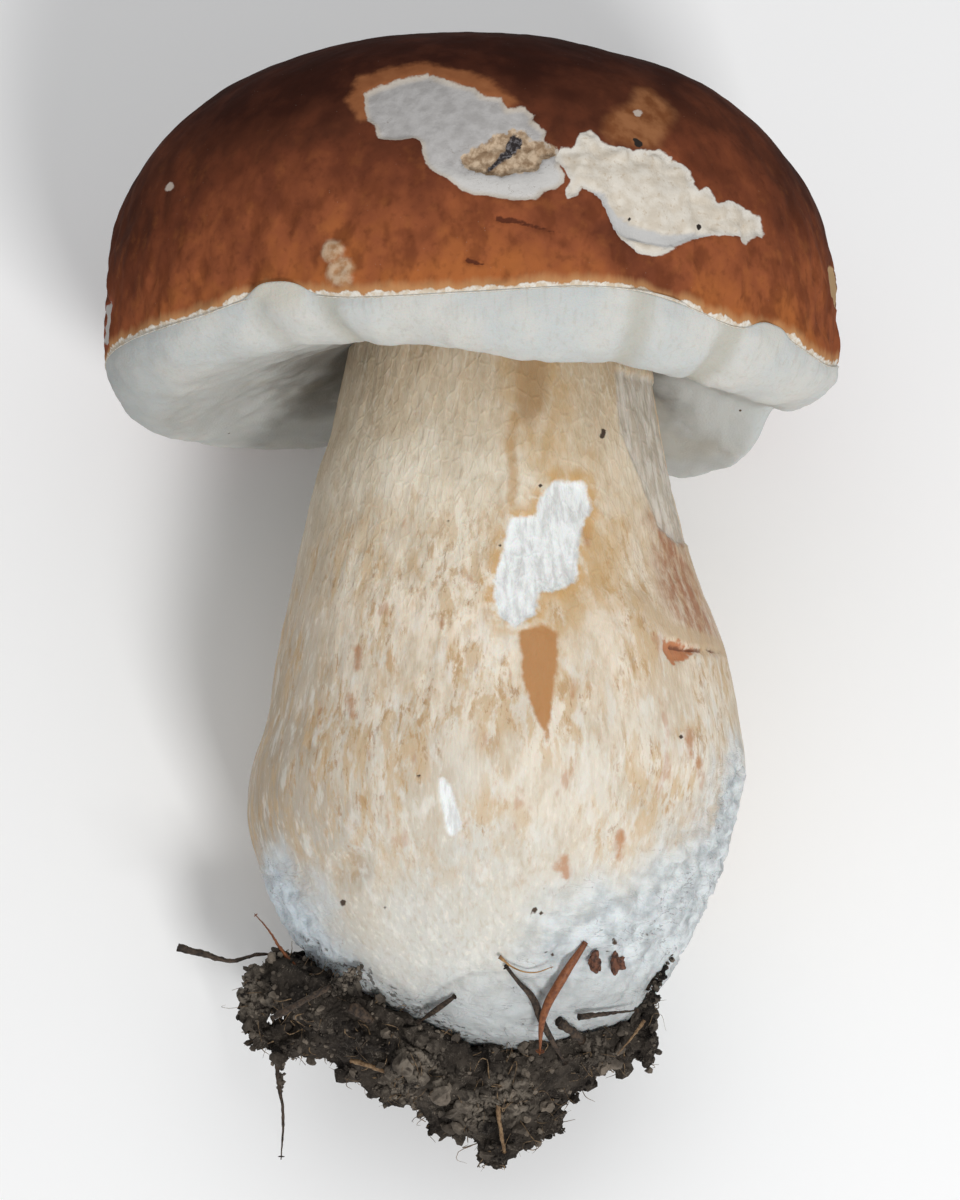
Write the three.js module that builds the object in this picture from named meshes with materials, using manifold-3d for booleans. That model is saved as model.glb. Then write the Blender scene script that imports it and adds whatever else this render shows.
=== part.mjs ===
// A porcini mushroom lying on its side, as picked, with the soil and litter that cling to its foot.
// Units are millimetres. The mushroom is modelled standing: +Z runs up the stem, +X is to its right, and
// -Y is the side that faces up once it lies down. The last section lays it on a level surface at z = 0.
import * as THREE from "three";
import { mergeVertices } from "three/addons/utils/BufferGeometryUtils.js";
import Module from "manifold-3d";

// Driving dimensions
const CAP_X = -3.6; // the cap sits a little to the left of the stem
const RIM_Z = 100; // height of the cap's rim above the foot of the stem
const CAP_RISE = 46.8; // height of the dome above its rim
const CAP_TILT = 0.6; // how far the dome's top leans to the left
const DOME_POWER = 2.57; // 2 is an ellipse, and more is squarer at the shoulder
const MARGIN_TUCK = 1.4; // how far the rim is tucked in under the dome's widest part
const SEAT_RISE = 8; // how far the cap's underside rises from its rim to its middle
const TUBE_MOAT = 3; // height above the rim at which the tube layer meets the stem
const STEM_FLATNESS = 0.97; // the stem's depth over its width
const FIT = 0.3; // gap kept between pieces that touch
const LEAN = 13.6; // degrees by which the cap end is raised when the mushroom lies down
const SURFACE = 24.2; // distance from the stem's foot to the surface below it, square to that surface

// Sides and steps of the faceted solids
const CAP_SIDES = 72;
const DOME_STEPS = 22;
const STEM_SIDES = 64;
const TUBE_SIDES = 72;
const SOIL_SIDES = 24;
const LITTER_SIDES = 5;

// Bearings run round the stem in degrees: 0 is right, 90 is the side it lies on, 180 is left, 270 is up.
// Each pair below is a bearing and a measure there.
const RIM_RADIUS = [
  [0, 53.4], [30, 52], [60, 50.8], [90, 50.2], [120, 50.8], [150, 52.2], [180, 53.4], [210, 53],
  [240, 51.6], [270, 51], [300, 51.2], [330, 52.2],
];
const RIM_WAVE = [
  [0, 0.2], [28, -1], [60, -0.6], [90, 0], [125, 0.4], [160, 0], [195, -0.2], [223, 0.2],
  [238, 1.8], [252, 0.3], [270, 0.6], [292, 2], [304, 0.6], [314, -1.2], [322, -0.6], [342, -2.4],
];
const TUBE_DEPTH = [
  [0, 5.6], [8, 4.4], [15, 3], [20, 3], [26, 7.8], [32, 9.4], [45, 9.8], [66, 8.2], [90, 4.8],
  [115, 4], [130, 5.4], [150, 7], [180, 7.8], [200, 6.4], [220, 4.8], [238, 3.8], [260, 5],
  [280, 7], [296, 6.8], [317, 7.9], [338, 7.5], [350, 6.4],
];
const TUBE_INSET = [[0, 0.5], [12, 0.8], [20, 3.6], [28, 2.8], [42, 1], [60, 0.5], [180, 0.5], [270, 0.5]];
const TUBE_FLANK = [[0, 8], [16, 5], [28, 3.5], [45, 4.5], [80, 7], [120, 8], [180, 8.5], [240, 7], [300, 7.5]];
// Creases part the tube layer's edge into pillows.
const CREASES = [[235, 0.7], [248, 1], [259, 0.4], [297, 1], [314, 1.2], [52, 0.7], [84, 0.6], [118, 0.8]];
const CREASE_WIDTH = 3.2;

// The stem's left and right edges, by height.
const STEM_EDGES = [
  [0.4, -0.5, 9], [2.2, -6.5, 14.5], [5, -14, 18.6], [9, -20.6, 22.2], [14, -26, 25.6],
  [20, -30.6, 28.9], [28, -34.1, 32.4], [34, -35.7, 34.2], [41, -35.3, 35.9], [48, -33.4, 35.2],
  [58, -31.6, 33], [69, -29.2, 28.9], [81, -26.7, 25.9], [92, -23.8, 23.9], [104, -21.6, 22],
];
const STEM_ROWS = [0.4, 2.2, 5, 9, 14, 20, 25, 30, 35, 40, 45, 50, 56, 61, 66, 71, 76, 81, 87, 94, 101];
const FOOT_MIDDLE = 4.2;

// Dents on the side that faces up: middle, half length, half width, turn of the length from level, depth.
const CAP_DENTS = [
  { x: -4.6, z: 122.8, long: 15, wide: 6.4, turn: -26, depth: 1.2 },
  { x: 0.8, z: 119.6, long: 6.4, wide: 4, turn: 12, depth: 2 },
  { x: 21, z: 115, long: 15, wide: 7, turn: -16, depth: 1 },
];
const STEM_DENTS = [
  { x: 6.3, z: 69.4, long: 11, wide: 5.2, turn: 64, depth: 1.2 },
  { x: 22.4, z: 84, long: 14, wide: 2.4, turn: -80, depth: 0.9 },
  { x: -20.4, z: 25.2, long: 3.6, wide: 3, turn: 0, depth: 1 },
];

// Soil round the foot: height of its upper edge, radius of its side, and height where its underside begins.
const SOIL_EDGE = [
  [0, 13], [30, 11], [60, 9], [90, 9.5], [120, 12], [150, 15], [180, 17], [200, 13.4], [218, 9],
  [235, 5], [250, 2], [270, 0.8], [290, 1.6], [315, 5.6], [340, 10.6],
];
const SOIL_SIDE = [
  [0, 22], [30, 22.4], [60, 22.6], [90, 22.8], [120, 25], [150, 30.5], [180, 34], [195, 32], [212, 27],
  [228, 20], [245, 13], [270, 9.5], [295, 11.5], [315, 15.5], [340, 20.5],
];
const SOIL_SHELF = [
  [0, 2.4], [45, 2], [90, 3], [135, 3.5], [170, 3.6], [195, 4], [215, 1], [235, -2], [270, -4],
  [300, -2.6], [330, 1],
];
const SOIL_TIP = -14.2;
const SOIL_ROUGHNESS = 0.24; // share of its radius by which the clod's surface goes in and out
const SOIL_CRUMBS = 44;
const CRUMB_SIZES = [1.3, 3.3];

const TAU = Math.PI * 2;
const radians = (degrees) => (degrees * Math.PI) / 180;
const degreesOf = (angle) => ((angle * 180) / Math.PI + 720) % 360;
const clamp01 = (t) => Math.min(1, Math.max(0, t));
const ease = (t) => clamp01(t) ** 2 * (3 - 2 * clamp01(t));

// A smooth curve through four places and values, between the middle two.
function hermite(p0, p1, p2, p3, place) {
  const span = p2[0] - p1[0];
  const t = (place - p1[0]) / span;
  const m1 = ((p2[1] - p0[1]) / (p2[0] - p0[0])) * span;
  const m2 = ((p3[1] - p1[1]) / (p3[0] - p1[0])) * span;
  const [t2, t3] = [t * t, t * t * t];
  return (2 * t3 - 3 * t2 + 1) * p1[1] + (t3 - 2 * t2 + t) * m1 + (3 * t2 - 2 * t3) * p2[1] + (t3 - t2) * m2;
}

// A measure at an angle, from pairs of bearing and measure that close on themselves.
function atAngle(table, angle) {
  const place = degreesOf(angle);
  const count = table.length;
  const start = Math.min(...table.map((pair) => pair[0]));
  const ring = [...table].sort((a, b) => a[0] - b[0]);
  const turned = place < start ? place + 360 : place;
  const after = ring.findIndex((pair) => pair[0] > turned);
  const k = (after < 0 ? count : after) - 1;
  const pick = (i) => {
    const lap = Math.floor(i / count);
    const [where, value] = ring[i - lap * count];
    return [where + lap * 360, value];
  };
  return hermite(pick(k - 1), pick(k), pick(k + 1), pick(k + 2), turned);
}

// A measure at a height, from rows whose first number is the height.
function atHeight(rows, column, height) {
  const last = rows.length - 1;
  const z = Math.min(rows[last][0], Math.max(rows[0][0], height));
  let k = 0;
  while (k < last - 1 && rows[k + 1][0] < z) k += 1;
  const pick = (i) => {
    const row = rows[Math.min(last, Math.max(0, i))];
    const beyond = i < 0 ? -1 : i - Math.min(i, last);
    return [row[0] + beyond, row[column]];
  };
  return hermite(pick(k - 1), pick(k), pick(k + 1), pick(k + 2), z);
}

// How deep the dents are at a point on the upper side.
function dentAt(dents, x, z) {
  return dents.reduce((sum, dent) => {
    const turn = radians(dent.turn);
    const along = (x - dent.x) * Math.cos(turn) + (z - dent.z) * Math.sin(turn);
    const across = (z - dent.z) * Math.cos(turn) - (x - dent.x) * Math.sin(turn);
    return sum + dent.depth * ease(1.8 * (1 - Math.hypot(along / dent.long, across / dent.wide)));
  }, 0);
}

// A lathe-like surface: place(angle, row) says where each of its vertices belongs.
function turned(sides, rows, place) {
  const profile = Array.from({ length: rows }, (_, row) => new THREE.Vector2(1, row));
  const geometry = new THREE.LatheGeometry(profile, sides);
  const position = geometry.getAttribute("position");
  for (let k = 0; k < position.count; k += 1) {
    const side = Math.floor(k / rows) % sides;
    position.setXYZ(k, ...place((side / sides) * TAU, k % rows).toArray());
  }
  return geometry;
}

// Solids for the booleans, and back again
const wasm = await Module();
wasm.setup();

function solid(geometry) {
  const bare = new THREE.BufferGeometry();
  const loose = geometry.index ? geometry.toNonIndexed() : geometry;
  bare.setAttribute("position", loose.getAttribute("position"));
  const merged = mergeVertices(bare, 1e-4);
  const corners = merged.index.array;
  const triangles = [];
  for (let i = 0; i < corners.length; i += 3) {
    const [a, b, c] = corners.slice(i, i + 3);
    if (a !== b && b !== c && c !== a) triangles.push(a, b, c);
  }
  const vertProperties = new Float32Array(merged.attributes.position.array);
  const triVerts = new Uint32Array(triangles);
  return new wasm.Manifold(new wasm.Mesh({ numProp: 3, vertProperties, triVerts }));
}

function geometryOf(manifold) {
  const mesh = manifold.getMesh();
  const geometry = new THREE.BufferGeometry();
  geometry.setAttribute("position", new THREE.BufferAttribute(new Float32Array(mesh.vertProperties), 3));
  geometry.setIndex(new THREE.BufferAttribute(new Uint32Array(mesh.triVerts), 1));
  geometry.computeVertexNormals();
  return geometry;
}

// The largest of the bodies that a cut leaves, so that no loose scrap stays.
const largest = (manifold) => manifold.decompose().sort((a, b) => b.volume() - a.volume())[0];

// Cap
const rimRadius = (angle) => atAngle(RIM_RADIUS, angle);

// The cap's underside: share is 0 at its middle and 1 at its rim.
function seatZ(angle, share) {
  return RIM_Z + atAngle(RIM_WAVE, angle) * ease(share) + SEAT_RISE * (1 - share * share);
}

// Moves a point up or down until it is just below the cap's underside.
function underSeat(point) {
  const angle = Math.atan2(point.y, point.x - CAP_X);
  const share = Math.hypot(point.x - CAP_X, point.y) / rimRadius(angle);
  return point.setZ(seatZ(angle, share) - FIT);
}

// The dome: lift is 0 at the rim and 1 at the top.
function domePoint(angle, lift) {
  const arc = (1 - lift) * (Math.PI / 2);
  const out = Math.sin(arc) ** (2 / DOME_POWER);
  const up = Math.cos(arc) ** (2 / DOME_POWER);
  const low = 1 - lift;
  const wave = atAngle(RIM_WAVE, angle) * low ** 4;
  const reach = (rimRadius(angle) + MARGIN_TUCK) * out - MARGIN_TUCK * low ** 5;
  const x = CAP_X - CAP_TILT * up ** 2 + reach * Math.cos(angle);
  const dent = Math.sin(angle) < 0 ? dentAt(CAP_DENTS, x, RIM_Z + CAP_RISE * up) : 0;
  const radius = reach - dent * out;
  const z = RIM_Z + wave + (CAP_RISE - dent) * up;
  return new THREE.Vector3(x - dent * out * Math.cos(angle), radius * Math.sin(angle), z);
}

function capSolid() {
  const seatSteps = 5;
  return turned(CAP_SIDES, seatSteps + DOME_STEPS + 1, (angle, row) => {
    if (row >= seatSteps) return domePoint(angle, (row - seatSteps) / DOME_STEPS);
    const share = row / seatSteps;
    const radius = rimRadius(angle) * share;
    return new THREE.Vector3(CAP_X + radius * Math.cos(angle), radius * Math.sin(angle), seatZ(angle, share));
  });
}

// Stem
function stemPoint(angle, height, grow = 0) {
  const left = atHeight(STEM_EDGES, 1, height);
  const right = atHeight(STEM_EDGES, 2, height);
  const middle = (left + right) / 2;
  const radius = (right - left) / 2;
  const x = middle + radius * Math.cos(angle);
  const dent = Math.sin(angle) < 0 ? dentAt(STEM_DENTS, x, height) : 0;
  const reach = radius + grow - dent;
  return new THREE.Vector3(middle + reach * Math.cos(angle), reach * STEM_FLATNESS * Math.sin(angle), height);
}


function stemSolid(grow) {
  const rows = STEM_ROWS.length + 3;
  return turned(STEM_SIDES, rows, (angle, row) => {
    if (row === 0) return new THREE.Vector3(FOOT_MIDDLE, 0, -grow);
    if (row <= STEM_ROWS.length) return stemPoint(angle, STEM_ROWS[row - 1], grow);
    if (row === rows - 1) return underSeat(new THREE.Vector3(CAP_X, 0, 0));
    return underSeat(stemPoint(angle, RIM_Z + SEAT_RISE, grow));
  });
}

// Tube layer
function creaseDepth(angle) {
  return CREASES.reduce((sum, [where, depth]) => {
    const off = ((degreesOf(angle) - where + 540) % 360) - 180;
    return sum + depth * Math.exp(-((off / CREASE_WIDTH) ** 2));
  }, 0);
}

// The tube layer's lower face: share is 0 at the rim, TUBE_EDGE where it is lowest and 1 at the stem.
const TUBE_EDGE = 0.4;
function tubePoint(angle, share) {
  const radius = rimRadius(angle) - atAngle(TUBE_INSET, angle);
  const rim = underSeat(new THREE.Vector3(CAP_X + radius * Math.cos(angle), radius * Math.sin(angle), 0));
  const inner = stemPoint(angle, RIM_Z + TUBE_MOAT, FIT);
  const across = Math.hypot(rim.x - inner.x, rim.y - inner.y);
  const flank = atAngle(TUBE_FLANK, angle);
  const arc = Math.min(1, share / TUBE_EDGE) * (Math.PI / 2);
  const inwards = Math.max(0, (share - TUBE_EDGE) / (1 - TUBE_EDGE));
  const pinch = creaseDepth(angle) * Math.sin(Math.PI * clamp01(share / 0.62));
  const distance = flank * (1 - Math.cos(arc)) + (across - flank) * inwards + pinch;
  const lowest = RIM_Z - atAngle(TUBE_DEPTH, angle);
  const moat = (RIM_Z + TUBE_MOAT - lowest) * inwards ** 1.15;
  const z = rim.z + (lowest - rim.z) * Math.sin(arc) + moat + pinch;
  return rim.lerp(inner, clamp01(distance / across)).setZ(z);
}

function tubeSolid() {
  const under = 12;
  const over = 4;
  return turned(TUBE_SIDES, under + over + 1, (angle, row) => {
    const ring = row % (under + over);
    if (ring <= under) return tubePoint(angle, 1 - ring / under);
    const inner = stemPoint(angle, RIM_Z + TUBE_MOAT, FIT);
    return underSeat(tubePoint(angle, 0).lerp(inner, (ring - under) / over));
  });
}

// Litter: thin tapered pieces along smooth curves
const LITTER = {
  needle_red: [0.62, [12.1, -23.9, 15.4], [8.8, -23, 10.4], [6.4, -20.8, 5.8], [5.8, -17.2, 0.2]],
  needle_dark: [0.45, [1, -24.6, 12.2], [2.8, -23.4, 10], [4.7, -21.3, 8], [6.2, -18.2, 4.6], [9.6, -13.6, -1.2]],
  hair_root: [0.3, [0.2, -25.8, 13.3], [2.2, -25.2, 11.8], [4.8, -24.7, 11.2], [7.6, -24.6, 12]],
  bark_chip: [0.7, [8.4, -16.4, 4.9], [10.2, -14.9, 3.6], [12, -12.6, 2.2]],
  bud_scale_left: [0.95, [12.8, -21.4, 11.6], [13.1, -22.1, 12.8], [13.8, -22.4, 14]],
  bud_scale_right: [0.95, [15.9, -19.2, 11.5], [16.3, -19.9, 12.8], [16.7, -20.2, 14]],
  needle_side: [0.4, [-5.9, -19.8, 8.2], [-8.6, -16.6, 6.4], [-11.2, -12.6, 4.8]],
  twig_foot: [0.45, [11.2, -17.2, 5.4], [15.4, -14.8, 6], [19.8, -11.2, 6.6]],
  twig_left: [0.6, [-45.6, -2.6, 15.9], [-41.6, -2.2, 14.9], [-38.2, -1.8, 14], [-34, -1, 15], [-29.6, 1, 14.6]],
  rootlet_left: [0.34, [-34.6, -4, 20.6], [-32.4, -4.6, 18], [-30.8, -4.8, 15.6], [-28.4, -4, 12.6]],
  twig_cross: [0.55, [-31.6, -12.4, 5.4], [-27.2, -15.6, 7.6], [-23.2, -17.2, 9.6]],
  bark_left: [0.9, [-20.6, -14.8, 7], [-19, -15.4, 6], [-17.4, -15.2, 4.8]],
  straw_left: [0.42, [-20.6, -10.8, -0.4], [-18.4, -11.6, -1], [-15.6, -11.8, -2]],
  straw_tip: [0.36, [0, -8.8, -6.4], [0.4, -7.2, -9.6], [1, -5, -13.2]],
  root_hanging: [0.5, [-31.2, 0.4, 3], [-31.4, 0.6, -1.4], [-30.6, 1.4, -7.6], [-30.9, 2.8, -14.4]],
  twig_right: [0.6, [22.4, -9.2, 13.8], [22, -9, 12], [21, -8.4, 9.6]],
  root_right: [0.32, [20.6, -10, 5.2], [19, -10.6, 3], [16.8, -10, 0.4]],
};
const SLIM = ["hair_root", "rootlet_left", "root_hanging", "root_right", "straw_tip", "straw_left"];

function litterSolid(name, grow) {
  const [radius, ...places] = LITTER[name];
  const steps = places.length * 2;
  const curve = new THREE.CatmullRomCurve3(places.map((place) => new THREE.Vector3(...place)));
  const frames = curve.computeFrenetFrames(steps, false);
  const plump = SLIM.includes(name) ? 0.7 : 0.45;
  return turned(LITTER_SIDES, steps + 3, (angle, row) => {
    const step = Math.min(steps, Math.max(0, row - 1));
    const along = step / steps;
    const taper = plump + (1 - plump) * Math.sin(Math.PI * (0.15 + 0.75 * along));
    const reach = row === 0 || row === steps + 2 ? 0 : radius * taper + grow;
    const ahead = (row === 0 ? -1 : 0) + (row === steps + 2 ? 1 : 0);
    return curve.getPointAt(along)
      .addScaledVector(frames.tangents[step], ahead * (0.4 * radius + grow))
      .addScaledVector(frames.normals[step], reach * Math.cos(angle))
      .addScaledVector(frames.binormals[step], reach * Math.sin(angle));
  });
}

// Soil
let seed = 20;
function random() {
  seed = (seed * 16807) % 2147483647;
  return seed / 2147483647;
}

// The clod's outer surface: share is 0 at its edge on the foot and 1 at its tip.
function soilPoint(angle, share) {
  const edge = atAngle(SOIL_EDGE, angle);
  const side = atAngle(SOIL_SIDE, angle);
  const shelf = Math.min(edge - 2, atAngle(SOIL_SHELF, angle));
  const foot = stemPoint(angle, Math.max(0.6, edge), 0.5);
  const onFoot = Math.hypot(foot.x, foot.y);
  const crest = edge - Math.min(2, 0.3 * (edge - shelf));
  const [r0, r1, r2] = [Math.min(onFoot, side), side, side * 0.98];
  let radius = 0;
  let z = 0;
  if (share < 0.15) {
    radius = r0 + (r1 - r0) * (share / 0.15);
    z = edge + (crest - edge) * (share / 0.15);
  } else if (share < 0.4) {
    radius = r1 + (r2 - r1) * ((share - 0.15) / 0.25);
    z = crest + (shelf - crest) * ((share - 0.15) / 0.25);
  } else {
    const fall = (share - 0.4) / 0.6;
    radius = r2 * (1 - fall);
    z = shelf + (SOIL_TIP - shelf) * fall ** 1.1;
  }
  return new THREE.Vector3(radius * Math.cos(angle), radius * Math.sin(angle), z);
}

function clod() {
  const rows = 13;
  const bumps = Array.from({ length: SOIL_SIDES * rows }, () => SOIL_ROUGHNESS * (random() - 0.5));
  return turned(SOIL_SIDES, rows, (angle, row) => {
    if (row === 0) return new THREE.Vector3(0, 0, SOIL_TIP);
    if (row === rows - 1) return new THREE.Vector3(0, 0, 6);
    if (row === rows - 2) return soilPoint(angle, 0).multiplyScalar(0.8);
    const side = Math.round((angle / TAU) * SOIL_SIDES);
    const bump = row < rows - 3 ? 1 + bumps[side * rows + row] : 1;
    const point = soilPoint(angle, 1 - row / (rows - 2));
    return point.set(point.x * bump, point.y * bump, point.z + 4 * (bump - 1));
  });
}

function crumb(middle, size) {
  const geometry = new THREE.IcosahedronGeometry(1, 0);
  const merged = mergeVertices(new THREE.BufferGeometry().setAttribute("position", geometry.getAttribute("position")));
  const position = merged.getAttribute("position");
  const stretch = [size * (0.8 + 0.5 * random()), size * (0.8 + 0.5 * random()), size * (0.7 + 0.4 * random())];
  const turn = new THREE.Euler(TAU * random(), TAU * random(), TAU * random());
  for (let k = 0; k < position.count; k += 1) {
    const corner = new THREE.Vector3().fromBufferAttribute(position, k).multiplyScalar(0.8 + 0.4 * random());
    corner.multiply(new THREE.Vector3(...stretch)).applyEuler(turn).add(middle);
    position.setXYZ(k, corner.x, corner.y, corner.z);
  }
  return solid(merged);
}

// Crumbs that give the clod its ragged outline, by place and size.
const OUTLINE_CRUMBS = [
  [-34.5, -3, 11.5, 2.6], [-34.8, -2, 7, 2.8], [-33.6, -1, 3.4, 2.6], [-30, 0, 1.6, 2.8], [-31, -4, 13, 2.6],
  [-27, 1, 2, 2.6], [22, -4, 6.4, 1.9], [21.4, -2, 0.6, 2], [17.4, 0, -3.4, 2.2], [-1.4, 0, -13, 2.2],
  [1.6, 1, -12.6, 2.2], [-15.6, 0, -4, 2.4], [-7.8, 0, -9.6, 2.4], [7.9, 0, -7.2, 2.1], [2.6, -7, -6, 2.4],
  [18.8, -2, -2.2, 2.1], [21.8, -4, 2.4, 1.8],
];

function soilSolid() {
  let lump = solid(clod());
  const crumbs = OUTLINE_CRUMBS.map(([x, y, z, size]) => crumb(new THREE.Vector3(x, y, z), size));
  for (let k = 0; k < SOIL_CRUMBS; k += 1) {
    const angle = TAU * random();
    const share = 0.1 + 0.85 * random();
    const [small, large] = CRUMB_SIZES;
    const size = small + (large - small) * random() ** 1.6;
    crumbs.push(crumb(soilPoint(angle, share).multiplyScalar(0.97), size));
  }
  for (const one of crumbs) lump = lump.add(one);
  return lump;
}

// The surface that the mushroom lies on, as a slab in the standing frame
const lying = new THREE.Matrix4().makeRotationX(radians(LEAN - 90)).setPosition(0, 0, SURFACE);

function groundSlab(depth) {
  const thick = 60;
  const slab = new THREE.BoxGeometry(300, 400, thick).translate(0, 60, -thick / 2 + depth);
  return solid(slab.applyMatrix4(lying.clone().invert()));
}

// Assembly
const paint = (colour, roughness) => new THREE.MeshStandardMaterial({ color: colour, roughness, metalness: 0 });
const materials = {
  skin: paint("#6f3a22", 0.5),
  tubes: paint("#c9ccc7", 0.85),
  stem: paint("#d2c3ab", 0.75),
  soil: paint("#35312b", 0.95),
  dark: paint("#3a2a1f", 0.8),
  brown: paint("#7a4328", 0.7),
  straw: paint("#b08a58", 0.7),
};
const LITTER_PAINT = {
  needle_red: "brown", hair_root: "straw", straw_left: "straw", straw_tip: "straw", root_right: "straw",
  rootlet_left: "brown", bark_left: "brown",
};

function buildPart() {
  const floor = groundSlab(0);
  const nearFloor = groundSlab(0.6);
  const stemClear = solid(stemSolid(FIT));
  const bodies = new Map();
  bodies.set("cap", [solid(capSolid()).subtract(floor), materials.skin]);
  bodies.set("tube_layer", [solid(tubeSolid()).subtract(floor), materials.tubes]);
  bodies.set("stem", [solid(stemSolid(0)).subtract(floor), materials.stem]);
  let soil = soilSolid().subtract(stemClear).subtract(nearFloor);
  for (const name of Object.keys(LITTER)) {
    soil = soil.subtract(solid(litterSolid(name, FIT)));
    const body = largest(solid(litterSolid(name, 0)).subtract(stemClear));
    bodies.set(name, [body, materials[LITTER_PAINT[name] ?? "dark"]]);
  }
  bodies.set("soil", [largest(soil), materials.soil]);

  const laid = new THREE.Group();
  laid.rotation.x = radians(LEAN - 90);
  for (const [name, [body, material]] of bodies) {
    const mesh = new THREE.Mesh(geometryOf(body), material);
    mesh.name = name;
    laid.add(mesh);
  }
  const box = new THREE.Box3().setFromObject(laid, true);
  laid.position.set(-(box.min.x + box.max.x) / 2, -(box.min.y + box.max.y) / 2, SURFACE);
  return new THREE.Group().add(laid);
}

export default buildPart();
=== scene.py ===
# %% [markdown]
# A porcini mushroom, lying as it was picked. The real thing is three organs grown together: a brown
# cap, a thick layer of fine tubes under it and a club-shaped stem, with forest soil and litter on its
# foot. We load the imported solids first, because every finer piece has to stay where they are.

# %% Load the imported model
import math

import bmesh
import bpy
import numpy as np
from mathutils import Matrix, Vector


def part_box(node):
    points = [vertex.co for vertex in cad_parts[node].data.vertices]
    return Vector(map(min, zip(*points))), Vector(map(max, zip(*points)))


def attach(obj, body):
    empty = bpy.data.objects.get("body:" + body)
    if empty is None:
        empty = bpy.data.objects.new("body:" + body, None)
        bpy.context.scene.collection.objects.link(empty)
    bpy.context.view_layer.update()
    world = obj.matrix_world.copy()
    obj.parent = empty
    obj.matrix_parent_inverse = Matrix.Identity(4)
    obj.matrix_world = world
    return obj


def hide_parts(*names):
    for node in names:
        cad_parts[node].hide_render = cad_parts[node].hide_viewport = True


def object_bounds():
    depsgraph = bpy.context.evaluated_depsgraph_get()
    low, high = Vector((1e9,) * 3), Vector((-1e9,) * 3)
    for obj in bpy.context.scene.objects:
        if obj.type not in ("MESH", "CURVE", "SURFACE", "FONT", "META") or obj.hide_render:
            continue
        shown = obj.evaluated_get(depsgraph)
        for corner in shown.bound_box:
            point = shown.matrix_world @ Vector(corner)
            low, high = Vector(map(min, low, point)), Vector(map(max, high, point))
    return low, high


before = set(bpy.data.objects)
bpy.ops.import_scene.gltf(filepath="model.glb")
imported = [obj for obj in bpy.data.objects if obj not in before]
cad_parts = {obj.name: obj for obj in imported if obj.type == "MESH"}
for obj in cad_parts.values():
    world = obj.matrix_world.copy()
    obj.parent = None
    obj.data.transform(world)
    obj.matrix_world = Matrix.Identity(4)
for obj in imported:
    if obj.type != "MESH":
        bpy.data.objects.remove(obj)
cad_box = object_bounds()
MM = 0.001  # metres in a millimetre
print("CAD box in metres:", [tuple(round(v, 4) for v in corner) for corner in cad_box])

# %% [markdown]
# A mushroom is easiest to describe standing up, in millimetres: z runs up the stem, x is to its right
# and -y is the side that faces up once it lies down. These are the solids' own driving dimensions and
# tables. Bearings are degrees round the stem: 0 is right, 90 is the side it lies on, 270 is up.

# %% The mushroom's dimensions
CAP_X = -3.6  # the cap sits a little to the left of the stem
RIM_Z = 100  # height of the cap's rim above the foot of the stem
CAP_RISE = 46.8  # height of the dome above its rim
CAP_TILT = 0.6  # how far the dome's top leans to the left
DOME_POWER = 2.57  # 2 is an ellipse, and more is squarer at the shoulder
MARGIN_TUCK = 1.4  # how far the rim is tucked in under the dome's widest part
SEAT_RISE = 8  # how far the cap's underside rises from its rim to its middle
TUBE_MOAT = 3  # height above the rim at which the tube layer meets the stem
STEM_FLATNESS = 0.97  # the stem's depth over its width
FOOT_MIDDLE = 4.2  # how far right of the stem's axis its foot touches down
LEAN = math.radians(13.6)  # how far the cap end is raised when the mushroom lies down
SURFACE = 24.2  # distance from the stem's foot to the surface below it, square to that surface

RIM_RADIUS = [
    [0, 53.4], [30, 52], [60, 50.8], [90, 50.2], [120, 50.8], [150, 52.2], [180, 53.4], [210, 53],
    [240, 51.6], [270, 51], [300, 51.2], [330, 52.2],
]
RIM_WAVE = [
    [0, 0.2], [28, -1], [60, -0.6], [90, 0], [125, 0.4], [160, 0], [195, -0.2], [223, 0.2],
    [238, 1.8], [252, 0.3], [270, 0.6], [292, 2], [304, 0.6], [314, -1.2], [322, -0.6], [342, -2.4],
]
TUBE_DEPTH = [
    [0, 5.6], [8, 4.4], [15, 3], [20, 3], [26, 7.8], [32, 9.4], [45, 9.8], [66, 8.2], [90, 4.8],
    [115, 4], [130, 5.4], [150, 7], [180, 7.8], [200, 6.4], [220, 4.8], [238, 3.8], [260, 5],
    [280, 7], [296, 6.8], [317, 7.9], [338, 7.5], [350, 6.4],
]
TUBE_INSET = [[0, 0.5], [12, 0.8], [20, 3.6], [28, 2.8], [42, 1], [60, 0.5], [180, 0.5], [270, 0.5]]
TUBE_FLANK = [
    [0, 8], [16, 5], [28, 3.5], [45, 4.5], [80, 7], [120, 8], [180, 8.5], [240, 7], [300, 7.5],
]
CREASES = [[235, 0.7], [248, 1], [259, 0.4], [297, 1], [314, 1.2], [52, 0.7], [84, 0.6], [118, 0.8]]
CREASE_WIDTH = 3.2
STEM_EDGES = [
    [0.4, -0.5, 9], [2.2, -6.5, 14.5], [5, -14, 18.6], [9, -20.6, 22.2], [14, -26, 25.6],
    [20, -30.6, 28.9], [28, -34.1, 32.4], [34, -35.7, 34.2], [41, -35.3, 35.9], [48, -33.4, 35.2],
    [58, -31.6, 33], [69, -29.2, 28.9], [81, -26.7, 25.9], [92, -23.8, 23.9], [104, -21.6, 22],
]
print("the rim has", len(RIM_RADIUS), "bearings, the stem's outline", len(STEM_EDGES), "heights")

# %% [markdown]
# The tables hold few points, so a smooth curve has to run through them. A Hermite curve takes its slope
# at each point from the two neighbours, which is how an eye draws a curve through dots. numpy works
# out thousands of places in one call, where a Python loop would take seconds.

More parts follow.
